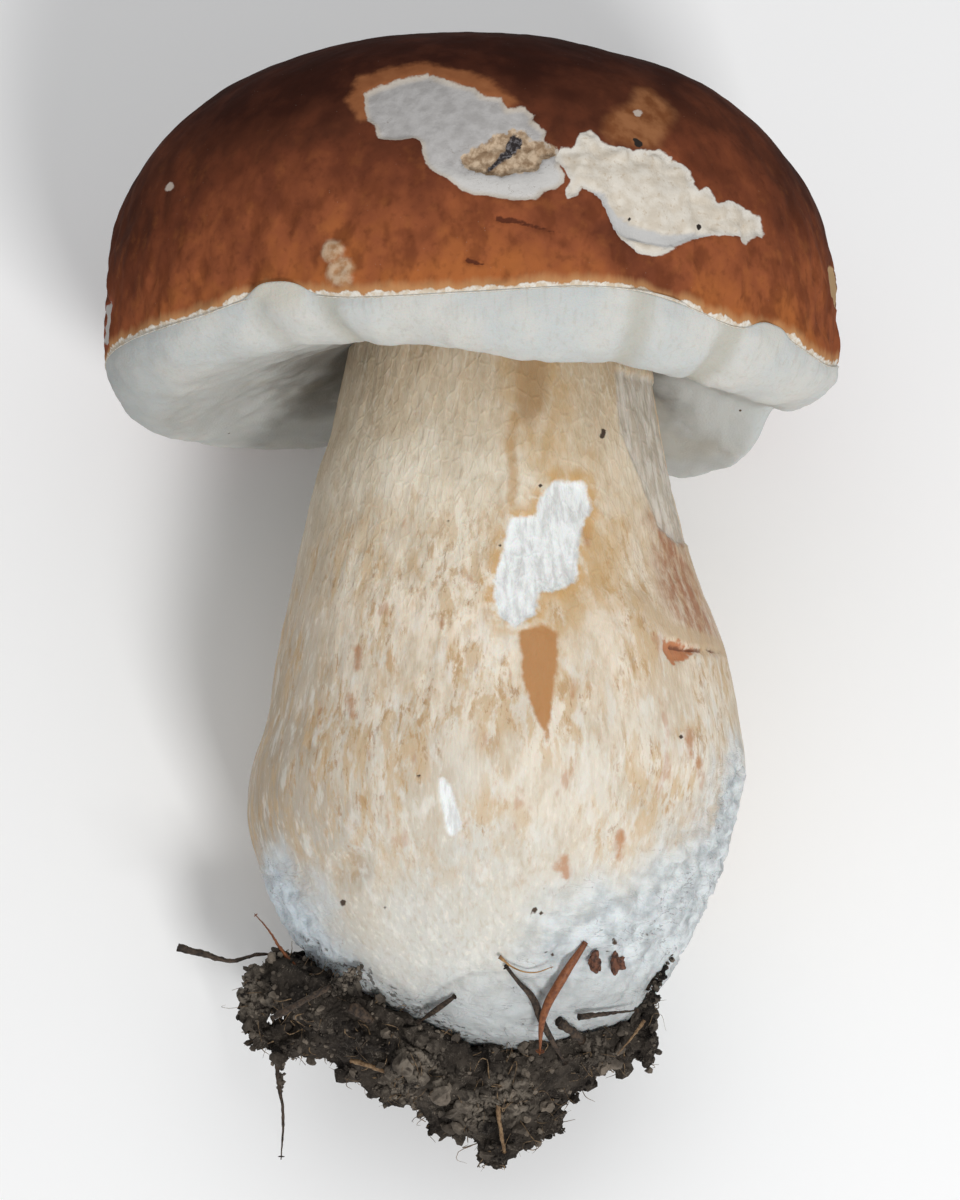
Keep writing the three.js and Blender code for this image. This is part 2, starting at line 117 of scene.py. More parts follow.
# %% Smooth curves through the tables
def hermite(places, values, at):
    k = np.clip(np.searchsorted(places, at, side="right") - 1, 1, len(places) - 3)
    span = places[k + 1] - places[k]
    t = (at - places[k]) / span
    slope_a = (values[k + 1] - values[k - 1]) / (places[k + 1] - places[k - 1]) * span
    slope_b = (values[k + 2] - values[k]) / (places[k + 2] - places[k]) * span
    ends = (2 * t**3 - 3 * t**2 + 1) * values[k] + (3 * t**2 - 2 * t**3) * values[k + 1]
    return ends + (t**3 - 2 * t**2 + t) * slope_a + (t**3 - t**2) * slope_b


def around(table, angle):
    ring = np.array(sorted(table), float)
    places = np.concatenate([ring[-2:, 0] - 360, ring[:, 0], ring[:2, 0] + 360])
    values = np.concatenate([ring[-2:, 1], ring[:, 1], ring[:2, 1]])
    return hermite(places, values, np.degrees(angle) % 360)


def up_the(rows, column, height):
    rows = np.array(rows, float)
    places = np.concatenate([[rows[0, 0] - 1], rows[:, 0], [rows[-1, 0] + 1]])
    values = np.concatenate([[rows[0, column]], rows[:, column], [rows[-1, column]]])
    return hermite(places, values, np.clip(height, rows[0, 0], rows[-1, 0]))


def ease(t):
    t = np.clip(t, 0, 1)
    return t * t * (3 - 2 * t)


def mix(a, b, t):
    return a + (b - a) * t

half_way = float(around(RIM_RADIUS, math.radians(45)))
print("rim radius half way between two bearings:", round(half_way, 2), "mm")

# %% [markdown]
# Each organ's shape is one formula of a bearing and a step from bottom to top. The cap is a dome that
# is squarer than an ellipse, with its margin tucked in. Written as formulas, the same shape can be
# sampled as finely as its surface needs.

# %% The organs' plain shapes, standing, in millimetres
TUCK_FADE = 5  # the higher, the closer to the rim the tuck dies out
WAVE_FADE = 4  # the same for the waves of the rim


def joined(x, y, z):
    return np.stack(np.broadcast_arrays(x, y, z), axis=-1).astype(float)


def rim_radius(angle):
    return around(RIM_RADIUS, angle)


def seat_z(angle, share):
    return RIM_Z + around(RIM_WAVE, angle) * ease(share) + SEAT_RISE * (1 - share**2)


def dome(angle, lift):
    arc = (1 - lift) * math.pi / 2
    out = np.sin(arc) ** (2 / DOME_POWER)
    up = np.clip(np.cos(arc), 0, 1) ** (2 / DOME_POWER)
    low = 1 - lift
    reach = (rim_radius(angle) + MARGIN_TUCK) * out - MARGIN_TUCK * low**TUCK_FADE
    x = CAP_X - CAP_TILT * up**2 + reach * np.cos(angle)
    wave = around(RIM_WAVE, angle) * low**WAVE_FADE
    return joined(x, reach * np.sin(angle), RIM_Z + wave + CAP_RISE * up)


def stem_surface(angle, height, grow=0.0):
    left = up_the(STEM_EDGES, 1, height)
    right = up_the(STEM_EDGES, 2, height)
    reach = (right - left) / 2 + grow
    x, y = (left + right) / 2 + reach * np.cos(angle), reach * STEM_FLATNESS * np.sin(angle)
    return joined(x, y, height)


def under_seat(points, gap=0.0):
    away = np.hypot(points[..., 0] - CAP_X, points[..., 1])
    angle = np.arctan2(points[..., 1], points[..., 0] - CAP_X)
    moved = points.copy()
    moved[..., 2] = seat_z(angle, away / rim_radius(angle)) - gap
    return moved

print("top of the dome:", dome(np.array(0.0), np.array(1.0)).round(1), "mm")

# %% [markdown]
# The solids lie on their side, and their bounding box is centred on the origin. So the lying place of a
# standing point is a turn about x and a shift. The shift isn't guessed: it is whatever brings our dome
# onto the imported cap's box.

# %% From standing millimetres to lying metres
SAMPLE_ANGLES = np.radians(np.arange(0, 360, 5))[:, None]
SAMPLE_LIFTS = np.linspace(0, 1, 200)[None, :]


def turned_over(points):
    x, y, z = points[..., 0], points[..., 1], points[..., 2]
    s, c = math.sin(LEAN), math.cos(LEAN)
    return np.stack([x, s * y + c * z, s * z - c * y + SURFACE], axis=-1)


def cap_shift():
    sample = turned_over(dome(SAMPLE_ANGLES, SAMPLE_LIFTS))
    low, high = (np.array(corner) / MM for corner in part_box("cap"))
    middle_x = (low[0] + high[0] - sample[..., 0].min() - sample[..., 0].max()) / 2
    return np.array([middle_x, high[1] - sample[..., 1].max(), 0])


SHIFT = cap_shift()


def lay(points):
    return (turned_over(points) + SHIFT) * MM


def standing_back(place):
    """The other way round: from lying metres back to standing millimetres."""
    x, y, z = (place / MM - SHIFT).T
    s, c = math.sin(LEAN), math.cos(LEAN)
    return np.stack([x, s * y - c * (z - SURFACE), c * y + s * (z - SURFACE)], axis=-1)


def lay_direction(vector):
    return Vector(turned_over(np.array(vector, float)) - turned_over(np.zeros(3)))


print("shift from turned to lying, mm:", SHIFT.round(3))

# %% [markdown]
# The camera comes early, because every choice after it is judged in its picture. The photograph looks
# at the mushroom from the foot end and a little below the cap's rim. Now that it lies down, that same
# view looks down on it. Only the angle and the distance are set here. The long lens keeps the
# perspective as weak as it was.

# %% Camera
PICTURE = (960, 1200)
MM_PER_PIXEL = 0.145
CAMERA_DISTANCE = 600
CAMERA_BELOW = math.radians(8)
SIGHT = (-2.465, 0, 66.3)  # the standing point in the middle of the picture
SENSOR = 36
FAR_CLIP = 20

camera_data = bpy.data.cameras.new("camera")
camera_data.sensor_width = SENSOR
camera_data.lens = SENSOR * CAMERA_DISTANCE / (MM_PER_PIXEL * max(PICTURE))
camera_data.clip_end = FAR_CLIP
camera = bpy.data.objects.new("camera", camera_data)
bpy.context.scene.collection.objects.link(camera)
look = lay_direction((0, math.cos(CAMERA_BELOW), math.sin(CAMERA_BELOW)))
upward = lay_direction((0, -math.sin(CAMERA_BELOW), math.cos(CAMERA_BELOW)))
axes = Matrix((lay_direction((1, 0, 0)), upward, -look)).transposed()
eye = Vector(lay(np.array(SIGHT, float))) - look * CAMERA_DISTANCE * MM
camera.matrix_world = Matrix.Translation(eye) @ axes.to_4x4()
bpy.context.scene.camera = camera
down = math.degrees(math.asin(-look.z))
print("lens:", round(camera_data.lens, 1), "mm, looking down at", round(down, 1), "degrees")

# %% [markdown]
# The floor is a plain pale sheet, wide enough that no view from above sees past it. It is stage, not a
# part of the mushroom.

# %% Floor
FLOOR_SIZE = 6
FLOOR_PAINT = {"Base Color": (0.97, 0.97, 0.97, 1), "Roughness": 0.9}

floor_mesh = bpy.data.meshes.new("floor")
bm = bmesh.new()
bmesh.ops.create_grid(bm, x_segments=1, y_segments=1, size=FLOOR_SIZE / 2)
bm.to_mesh(floor_mesh)
bm.free()
floor = bpy.data.objects.new("floor", floor_mesh)
bpy.context.scene.collection.objects.link(floor)
floor_paint = bpy.data.materials.new("floor_paint")
floor_paint.use_nodes = True
for socket, value in FLOOR_PAINT.items():
    floor_paint.node_tree.nodes["Principled BSDF"].inputs[socket].default_value = value
floor_mesh.materials.append(floor_paint)
print("floor:", FLOOR_SIZE, "m wide")

# %% [markdown]
# The light is that of a photo table: one soft lamp in front and a little to the right, a weaker and
# wider one from the cap's side, and a bright plain room. The first lamp stands low enough to reach
# under the cap, where the stem casts its shadow on the tubes at its left. The plain Standard view keeps
# the colours as they are painted.

# %% Light
ROOM = {"Color": (0.98, 0.99, 1, 1), "Strength": 0.42}
LAMP_AIM = Vector((0, 0, 0.04))
LAMPS = {  # place and size in metres, and power in watts
    "lamp_key": ((0.27, -0.73, 0.79), 0.22, 6.5),
    "lamp_cap": ((0.0, 0.35, 1.0), 1.1, 2.4),
}

world = bpy.data.worlds.new("room")
bpy.context.scene.world = world
world.use_nodes = True
for socket, value in ROOM.items():
    world.node_tree.nodes["Background"].inputs[socket].default_value = value
for name, (place, size, power) in LAMPS.items():
    light = bpy.data.lights.new(name, "AREA")
    light.size = size
    light.energy = power
    lamp = bpy.data.objects.new(name, light)
    lamp.location = place
    lamp.rotation_euler = (LAMP_AIM - lamp.location).to_track_quat("-Z", "Y").to_euler()
    bpy.context.scene.collection.objects.link(lamp)
    print(name, "of", power, "W and", size, "m")
bpy.context.scene.view_settings.view_transform = "Standard"

# %% [markdown]
# The meshes go through the same last step: their poles and seams are closed, their faces turned outward,
# and each is hung on the body it rides on, given its material and named for the solid it stands for,
# which is then hidden.
# The faces are shaded smooth on all pieces but the soil. Only the fine roots skip the closing, as they
# come closed, and they stand for no solid.

# %% Handing pieces over
MERGE_DISTANCE = 2e-7


def hand_over(name, mesh, material):
    mesh.materials.clear()
    mesh.materials.append(material)
    made = bpy.data.objects.new(name, mesh)
    bpy.context.scene.collection.objects.link(made)
    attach(made, "root")
    print(made.name, len(mesh.polygons), "faces")
    return made


def piece(mesh, material, node, smooth=True):
    """Closes the poles, turns the faces outward and puts the piece in its solid's place."""
    bm = bmesh.new()
    bm.from_mesh(mesh)
    bmesh.ops.remove_doubles(bm, verts=bm.verts, dist=MERGE_DISTANCE)
    bmesh.ops.recalc_face_normals(bm, faces=bm.faces)
    for face in bm.faces:
        face.smooth = smooth
    bm.to_mesh(mesh)
    bm.free()
    made = hand_over("fine_" + node, mesh, material)
    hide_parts(node)
    return made


# %% [markdown]
# Each organ starts as a flat grid of quads, which is then rolled up round the stem: the first and last
# columns land on each other and are merged. A spin would make the same tube, but takes a minute at this
# fineness. The columns are packed closer on the upper side, where the marks are. Nothing may reach past
# the solids' box, so the side that rests on the floor is bent flat over a hair's breadth and the rest is
# clipped.

# %% A grid of quads to roll up
FRONT_PACKING = 0.4
FLAT_BEND = 5e-5  # metres over which a resting side bends into the floor
TINY = 1e-9  # keeps a division from meeting zero


class Grid:
    def __init__(self, name, sides, rows):
        bm = bmesh.new()
        bmesh.ops.create_grid(bm, x_segments=sides, y_segments=rows - 1, size=0.5)
        self.mesh = bpy.data.meshes.new(name)
        bm.to_mesh(self.mesh)
        bm.free()
        place = np.empty(len(self.mesh.vertices) * 3)
        self.mesh.vertices.foreach_get("co", place)
        place = place.reshape(-1, 3) + 0.5
        self.side = np.rint(place[:, 0] * sides).astype(int) % sides
        self.step = np.rint(place[:, 1] * (rows - 1)).astype(int)
        turn = (np.arange(sides) * math.tau / sides)[:, None]
        self.angle = turn - FRONT_PACKING * np.cos(turn)
        self.row = np.arange(rows)[None, :]
        self.marks = {}

    def raised(self, points, height):
        across = np.roll(points, -1, axis=0) - np.roll(points, 1, axis=0)
        along = np.gradient(points, axis=1)
        normal = np.cross(across, along)
        normal /= np.linalg.norm(normal, axis=-1, keepdims=True) + TINY
        return points + normal * np.asarray(height)[..., None]

    def finish(self, points, material, node, slot):
        placed = lay(points)
        placed[..., 2] = (placed[..., 2] + np.sqrt(placed[..., 2] ** 2 + FLAT_BEND**2)) / 2
        placed = np.clip(placed, *cad_box)
        self.store("grown", "FLOAT_VECTOR", "vector", points)
        for label, values in self.marks.items():
            self.store(label, "FLOAT", "value", np.broadcast_to(values, points.shape[:2]))
        self.mesh.vertices.foreach_set("co", placed[self.side, self.step].ravel())
        return piece(self.mesh, material, node)

    def store(self, label, kind, key, values):
        stored = self.mesh.attributes.new(label, kind, "POINT")
        stored.data.foreach_set(key, values[self.side, self.step].ravel())


# %% [markdown]
# Skin and flesh are never smooth. Blender has noise for single points, but a grid has seventy thousand
# of them. So this is gradient noise in numpy: each corner of a lattice has a random slope, and the
# corners round a point are blended. Laid over itself at half the size it gives lumps with lumps on them,
# and stretched it gives fibres and wrinkles.

# %% Noise for whole grids
LATTICE = 256
LATTICE_SHIFT = 40.3  # moves the mushroom's axis off the lattice's corners, where the noise is zero
NOISE_GAIN = 1.6  # brings the noise to about -1 to 1
noise_draws = np.random.default_rng(3)
SHUFFLE = noise_draws.permutation(LATTICE)
SLOPES = noise_draws.normal(size=(LATTICE, 3))
SLOPES /= np.linalg.norm(SLOPES, axis=1, keepdims=True)
CORNERS = [(i, j, k) for i in (0, 1) for j in (0, 1) for k in (0, 1)]


def waves(points):
    cell = np.floor(points).astype(int)
    local = points - cell
    fade = local**3 * (local * (local * 6 - 15) + 10)
    total = 0
    for corner in CORNERS:
        i, j, k = np.moveaxis((cell + corner) % LATTICE, -1, 0)
        slope = SLOPES[SHUFFLE[(SHUFFLE[(SHUFFLE[i] + j) % LATTICE] + k) % LATTICE]]
        weight = np.where(corner, fade, 1 - fade).prod(axis=-1)
        total = total + weight * (slope * (local - corner)).sum(axis=-1)
    return total * NOISE_GAIN


def rough(points, size, octaves=3, stretch=(1, 1, 1), offset=0.0):
    """Noise with lumps of that size in millimetres, and finer lumps on them."""
    scaled = points * np.array(stretch) / size + offset + LATTICE_SHIFT
    return sum(waves(scaled * 2**k) / 2**k for k in range(octaves))


print("noise from", LATTICE, "slopes, at one point:", round(float(rough(np.ones(3), 2.0)), 3))

# %% [markdown]
# Marks such as a graze have an outline on the upper side. The signed distance to it, in millimetres, is
# stored on the points. The shape presses the mark in with it, and the material cuts it off sharply and
# roughens its edge. A mark can be an outline, one or more strokes that change width along their path,
# or a set of round spots.

# %% Outlines, strokes and spots
OFF = -9.0  # the distance that stands for anywhere far outside a mark
FAR = 99.0


def segment_distance(points, start, end):
    (ax, az), (bx, bz) = start, end
    x, z = points[..., 0] - ax, points[..., 2] - az
    length = (bx - ax) ** 2 + (bz - az) ** 2 + TINY
    t = np.clip((x * (bx - ax) + z * (bz - az)) / length, 0, 1)
    return np.hypot(x - t * (bx - ax), z - t * (bz - az)), t


def outline_distance(points, outline):
    x, z = points[..., 0], points[..., 2]
    gap = np.full(x.shape, FAR)
    odd = np.zeros(x.shape, bool)
    for (ax, az), (bx, bz) in zip(outline, outline[1:] + outline[:1]):
        gap = np.minimum(gap, segment_distance(points, (ax, az), (bx, bz))[0])
        if az != bz:
            odd ^= ((az > z) != (bz > z)) & (x < (bx - ax) * (z - az) / (bz - az) + ax)
    return np.clip(np.where(odd, gap, -gap), OFF, -OFF)


def inside(points, outline):
    """Millimetres inside an outline drawn on the upper side, as pairs of x and z."""
    return np.where(points[..., 1] < 0, outline_distance(points, outline), OFF)


def along(points, path, start_width, end_width):
    """Millimetres inside a stroke that follows a path of x and z and changes width along it."""
    best = np.full(points.shape[:-1], OFF)
    count = len(path) - 1
    for k in range(count):
        gap, t = segment_distance(points, path[k], path[k + 1])
        best = np.maximum(best, mix(start_width, end_width, (k + t) / count) / 2 - gap)
    return np.where(points[..., 1] < 0, best, OFF)


def spots(points, places):
    """Millimetres inside the nearest of several round spots, each x, z and radius."""
    best = np.full(points.shape[:-1], OFF)
    for x, z, radius in places:
        best = np.maximum(best, radius - np.hypot(points[..., 0] - x, points[..., 2] - z))
    return np.where(points[..., 1] < 0, best, OFF)


def read_marks(points, outlines, strokes, round_spots):
    """The distance to each named mark. Where a mark has several strokes, the nearest counts."""
    marks = {name: inside(points, outline) for name, outline in outlines.items()}
    for name, paths in strokes.items():
        marks[name] = np.max([along(points, *path) for path in paths], axis=0)
    marks.update({name: spots(points, places) for name, places in round_spots.items()})
    return marks


def edge(distance, before, width):
    """0 outside a mark and 1 inside it, rising over a width that starts before its outline."""
    return ease((distance + before) / width)


print("inside a 2 mm spot at its middle:", spots(np.array([0.0, -1.0, 0.0]), [(0, 0, 2)]), "mm")

# %% [markdown]
# Every finish is a small node tree. Writing one by hand takes ten lines a node, so this class keeps each
# step to a call: a mark reads a stored distance, a cut turns it into a mask, and a blend lays one colour
# over another. Values that are the same everywhere stay on the shader's own sockets.

# %% A short way to write node trees
MASK_SOCKET, BELOW_SOCKET, ABOVE_SOCKET, COLOUR_OUTPUT = 0, 6, 7, 2  # those of a Mix node set to colour


class Finish:
    def __init__(self, name, roughness=0.7, **sockets):
        self.material = bpy.data.materials.new(name)
        self.material.use_nodes = True
        self.tree = self.material.node_tree
        self.shader = self.tree.nodes["Principled BSDF"]
        self.shader.inputs["Roughness"].default_value = roughness
        for socket, value in sockets.items():
            self.shader.inputs[socket.replace("_", " ")].default_value = value

    def node(self, kind, inputs=(), **settings):
        made = self.tree.nodes.new(kind)
        for key, value in settings.items():
            setattr(made, key, value)
        for socket, value in dict(inputs).items():
            if isinstance(value, bpy.types.NodeSocket):
                self.tree.links.new(value, made.inputs[socket])
            else:
                made.inputs[socket].default_value = value
        return made

    def grown(self, scale=(1, 1, 1), turn=0.0):
        """The standing place in millimetres, stored before the mushroom was laid down."""
        place = self.node("ShaderNodeAttribute", attribute_name="grown").outputs["Vector"]
        turned = {"Vector": place, "Rotation": (0, turn, 0), "Scale": scale}
        return self.node("ShaderNodeMapping", turned).outputs["Vector"]

    def place(self, axis):
        parts = self.node("ShaderNodeSeparateXYZ", {"Vector": self.grown()})
        return parts.outputs[axis]

    def mark(self, label):
        return self.node("ShaderNodeAttribute", attribute_name=label).outputs["Fac"]

    def noise(self, scale, stretch=(1, 1, 1), detail=4.0, roughness=0.55, turn=0.0, distortion=0.0):
        inputs = {"Vector": self.grown(stretch, turn), "Scale": scale, "Detail": detail}
        inputs.update({"Roughness": roughness, "Distortion": distortion})
        return self.node("ShaderNodeTexNoise", inputs).outputs["Fac"]

    def cells(self, scale, stretch=(1, 1, 1), feature="F1"):
        inputs = {"Vector": self.grown(stretch), "Scale": scale}
        return self.node("ShaderNodeTexVoronoi", inputs, feature=feature).outputs["Distance"]

    def calc(self, operation, a, b=0.0, clamp=False):
        return self.node("ShaderNodeMath", {0: a, 1: b}, operation=operation, use_clamp=clamp).outputs[0]

    def plus(self, first, *others):
        for other in others:
            first = self.calc("ADD", first, other)
        return first

    def minus(self, a, b):
        return self.calc("SUBTRACT", a, b)

    def times(self, a, b):
        return self.calc("MULTIPLY", a, b)

    def either(self, a, b, clamp=False):
        return self.calc("MAXIMUM", a, b, clamp)

    def hairs(self, noise):
        """Close to 0 along the winding lines where a noise crosses its middle value."""
        return self.calc("ABSOLUTE", self.minus(noise, 0.5))

    def cut(self, value, low, high, to_low=0.0, to_high=1.0):
        inputs = {"Value": value, "From Min": low, "From Max": high, "To Min": to_low, "To Max": to_high}
        made = self.node("ShaderNodeMapRange", inputs, interpolation_type="SMOOTHSTEP")
        return made.outputs["Result"]

    def ragged(self, label, amount, size, softness=0.12):
        """A mask from a stored distance, its edge torn by noise of that amount in millimetres."""
        tear = self.times(self.minus(self.noise(size, detail=5.0), 0.5), 2 * amount)
        return self.cut(self.plus(self.mark(label), tear), -softness, softness)

    def ramp(self, value, stops):
        made = self.node("ShaderNodeValToRGB", {"Fac": value})
        elements = made.color_ramp.elements
        while len(elements) < len(stops):
            elements.new(1.0)
        for element, (position, colour) in zip(elements, stops):
            element.position = position
            element.color = (*colour, 1)
        return made.outputs["Color"]

    def blend(self, mask, below, above):
        made = self.node("ShaderNodeMix", data_type="RGBA", blend_type="MIX")
        for socket, value in ((MASK_SOCKET, mask), (BELOW_SOCKET, below), (ABOVE_SOCKET, above)):
            if isinstance(value, bpy.types.NodeSocket):
                self.tree.links.new(value, made.inputs[socket])
            else:
                made.inputs[socket].default_value = (*value, 1)
        return made.outputs[COLOUR_OUTPUT]

    def bumps(self, *layers):
        """Bumps laid over each other, each a height, a strength and a depth in millimetres."""
        normal = None
        for height, strength, depth in layers:
            inputs = {"Height": height, "Strength": strength, "Distance": depth * MM}
            if normal is not None:
                inputs["Normal"] = normal
            normal = self.node("ShaderNodeBump", inputs).outputs["Normal"]
        self.link("Normal", normal)

    def link(self, socket, value):
        self.tree.links.new(value, self.shader.inputs[socket])


# %% [markdown]
# The cap's dome. Rows are closest at the rim, where the skin ends in a torn edge about a millimetre
# above the tubes. Something has grazed the top: on the left the skin is gone and pale flesh shows, with
# a deeper hole in it, and on the right the flesh itself is torn. Each mark is drawn as an outline on
# the upper side. The chips at the far left and right are ovals on the flank instead.

# %% Marks on the cap
GRAZE = [
    (-18.4, 130.8), (-16.2, 131.7), (-13.3, 132.6), (-9.5, 133.2), (-7, 131.9), (-3.1, 130.6),
    (-2.3, 129.4), (0.5, 129.1), (1.2, 127.2), (3.5, 127.6), (5, 126.3), (4.6, 125.4), (6.6, 123.9),
    (6.2, 122.6), (8.2, 121.2), (8.6, 119.7), (8.2, 118.9), (9, 117.6), (8.9, 116.3), (7.7, 115.3),
    (5.9, 114.7), (5.1, 113.6), (2.4, 113.4), (-0.3, 113.9), (-3.5, 114.2), (-5.2, 115), (-6.9, 116.6),
    (-8.5, 117.4), (-9.8, 118.9), (-10.2, 120.2), (-10.5, 122.2), (-11.3, 122.8), (-14, 122.7),
    (-16.4, 123.1), (-16.9, 125.2), (-18, 126.3), (-18.4, 128.3),
]
THIN_SKIN = [
    (-20.8, 129.5), (-19.3, 133.3), (-15, 134.6), (-10.3, 135.4), (-5.8, 133.7), (-1.5, 132.4),
    (1.1, 129.7), (3, 128.1), (0.3, 126.7), (-3.8, 128.6), (-9.3, 130.4), (-16.1, 129.5),
    (-17.2, 126.2), (-18.5, 126), (-20.2, 128.1),
]
HOLE = [
    (-5.2, 119.9), (-3.5, 121.2), (-1.5, 122.2), (-0.3, 123.5), (1.2, 123.8), (2.3, 124.5),
    (3.5, 124.1), (4.6, 122.9), (5.9, 122.5), (7.7, 121.6), (8.2, 120.5), (6.2, 119.9), (5.5, 118.3),
    (3.5, 117.8), (0.1, 117.1), (-2.3, 117.5), (-4, 118.3), (-5, 119.2),
]
TORN = [
    (7.8, 120), (8.5, 121.6), (10.1, 121.4), (11, 123.8), (12.9, 124.7), (14, 123.2), (15.2, 122.7),
    (18.6, 122.3), (22.2, 122.8), (24.1, 121.8), (26.4, 120.1), (27.6, 117.4), (28.5, 118.2),
    (29.3, 117.7), (30.2, 116.1), (31.9, 116.8), (33.8, 116.4), (36.3, 115.4), (36.9, 113.4),
    (36.7, 112.3), (35.5, 112.5), (34.1, 110.6), (33.3, 111.7), (31, 111.6), (28.4, 110.9),
    (25.2, 109.5), (23.5, 108), (21.4, 107.1), (19.2, 107.4), (16.7, 109.1), (15.1, 111.6),
    (13.9, 114.2), (13, 115), (11.3, 115.7), (10.8, 114.6), (9.3, 114), (9, 115.4), (9.8, 116.7),
]
TORN_STRIP = [(13.4, 114), (15.6, 111.4), (18, 110.4), (22.6, 109.4), (28.6, 110.6)]
AMBER = [
    (14.5, 126.2), (16.2, 128.4), (18.3, 129.8), (19.6, 132.7), (21.1, 132.7), (23.2, 130.9),
    (24.3, 129), (23, 125.4), (22.1, 123.3), (18.1, 122.7), (15.7, 122.9), (14.4, 124.7),
]
HOLE_LITTER = [(-1.6, 118.2), (0.2, 119.7), (1.6, 121.2), (2.5, 122.8)]
GRAZE_STRIP = [(-8.6, 117.6), (-5.4, 116), (-1, 115), (4, 115.2), (7.8, 117.4)]
FOLD = [(16.6, 108.6), (19.2, 105.4), (23.6, 102.6)]
BLISTERS = [(-22.3, 107, 1.5), (-21.1, 104.1, 1.9)]
CAP_CHIPS = [(-55, -10, 106.4, 4.5, 1.7), (-55, -8, 103.8, 3.4, 1.3)]
TAN_CHIP = [(49, -7, 111, 5.5, 3.0)]
CAP_BITS = [(18.1, 112, 0.3), (27.7, 112.2, 0.45), (19.3, 123.3, 0.6), (18.9, 123.9, 0.4)]
CAP_PALE_BITS = [(19.3, 128.4, 0.6), (-45.9, 120.6, 0.7)]
SCRATCHES = [[(0, 110.8), (2.4, 110.6), (4.9, 110), (7.6, 109.3)], [(-4.2, 105.2), (-2, 104.6)]]
CAP_OUTLINES = {"graze": GRAZE, "thin_skin": THIN_SKIN, "hole": HOLE, "torn": TORN, "amber": AMBER}
CAP_STROKES = {  # each path with its width at the start and at the end
    "graze_strip": [(GRAZE_STRIP, 2.4, 3.2)], "hole_litter": [(HOLE_LITTER, 0.3, 2.0)],
    "torn_strip": [(TORN_STRIP, 2.6, 1.6)], "fold": [(FOLD, 5, 3)],
    "scratch": [(SCRATCHES[0], 0.8, 0.3), (SCRATCHES[1], 0.7, 0.3)],
}
CAP_SPOTS = {"blister": BLISTERS, "bits": CAP_BITS, "pale_bits": CAP_PALE_BITS}
print(len(CAP_OUTLINES) + len(CAP_STROKES) + len(CAP_SPOTS), "kinds of mark on the cap")

# %% [markdown]
# The dome's profile is walked off by length, so rows can be spaced from 0.1 mm at the rim to 0.6 mm at
# the top. The underside only needs to close the piece, because the tubes cover it.

# %% Cap rows
CAP_SIDES = 400
DOME_ROWS = 176
SEAT_ROWS = 6
RIM_CROWDING = 1.35  # more than 1 packs the rows closer at the rim
PROFILE_STEPS = 4000
FRONT = np.array(-math.pi / 2)
NO_SKIN = -1.0  # stands for the distance up the skin where there is none


def walked(profile):
    """How far along its length each point of a profile is."""
    return np.concatenate([[0], np.cumsum(np.linalg.norm(np.diff(profile, axis=0), axis=1))])


def dome_lifts():
    fine = np.linspace(0, 1, PROFILE_STEPS)
    length = walked(dome(FRONT, fine))
    wanted = length[-1] * (np.arange(DOME_ROWS) / (DOME_ROWS - 1)) ** RIM_CROWDING
    return np.interp(wanted, length, fine), wanted


def cap_points(grid):
    lifts, lengths = dome_lifts()
    seat = grid.row < SEAT_ROWS
    share = np.clip(grid.row / SEAT_ROWS, 0, 1)
    step = np.clip(grid.row - SEAT_ROWS, 0, DOME_ROWS - 1)
    radius = rim_radius(grid.angle) * share
    x, y = CAP_X + radius * np.cos(grid.angle), radius * np.sin(grid.angle)
    below = joined(x, y, seat_z(grid.angle, share))
    points = np.where(seat[..., None], below, dome(grid.angle, lifts[step]))
    return points, np.where(seat, NO_SKIN, lengths[step]) + 0 * grid.angle


print("length of the dome's profile:", round(dome_lifts()[1][-1], 1), "mm")

# %% [markdown]
# The relief is a sum of heights in millimetres, square to the surface: broad swellings, wrinkles that
# are strongest near the margin, then each mark. The skin ends in a small step. The graze replaces what
# is under it, and the hole and the torn flesh go deeper from there.

# %% Cap shape
SKIN_END = 0.8
SKIN_THICKNESS = 0.22
WRINKLED = 30  # millimetres above the rim over which the wrinkles fade
FOLD_DEPTH = 0.5
BLISTER_HEIGHT = 0.45
CHIP_DEPTH = 0.35
SCRATCH_DEPTH = 0.35
GRAZE_DEPTH = 0.6
HOLE_DEPTH = 1.1
TORN_DEPTH = 0.35
STRIP_DEPTH = 0.75
FLANK_SHARE = 0.8  # an oval takes only points at least this share as far out as it is


def patches(points, places):
    """Ovals on the cap's flank, where x hardly changes: each a place, and its reach along y and z."""
    best = np.full(points.shape[:2], OFF)
    for x, y, z, wide, tall in places:
        oval = tall * (1 - np.hypot((points[..., 1] - y) / wide, (points[..., 2] - z) / tall))
        best = np.maximum(best, np.where(points[..., 0] * np.sign(x) > FLANK_SHARE * abs(x), oval, OFF))
    return best


def skin_relief(points, marks):
    low = 1 - ease((points[..., 2] - RIM_Z) / WRINKLED)
    on_skin = ease(marks["up_skin"] / 2)
    height = 0.4 * rough(points, 22, 2) * on_skin
    height += (0.12 + 0.5 * low) * rough(points, 6.5, 3, (1, 1, 0.8)) * on_skin
    height += (0.06 + 0.42 * low) * rough(points, 3.2, 2, (1, 1, 0.6), 5) * on_skin
    height -= FOLD_DEPTH * edge(marks["fold"], 2.5, 2.5)
    height += BLISTER_HEIGHT * edge(marks["blister"], 0.4, 0.9) * (1 + 0.5 * rough(points, 0.9, 2))
    height -= CHIP_DEPTH * edge(np.maximum(marks["chips"], marks["tan_chip"]), 0.2, 0.5)
    for path in SCRATCHES:
        height -= SCRATCH_DEPTH * edge(along(points, path, 0.9, 0.3), 0.3, 0.4)
    end = SKIN_END + 0.4 * rough(points, 2.4, 4, (1, 1, 0.2), 9)
    on_edge = 1 - edge(marks["up_skin"] - end, 0.2, 0.4)
    return height - SKIN_THICKNESS * on_edge * (marks["up_skin"] >= 0)


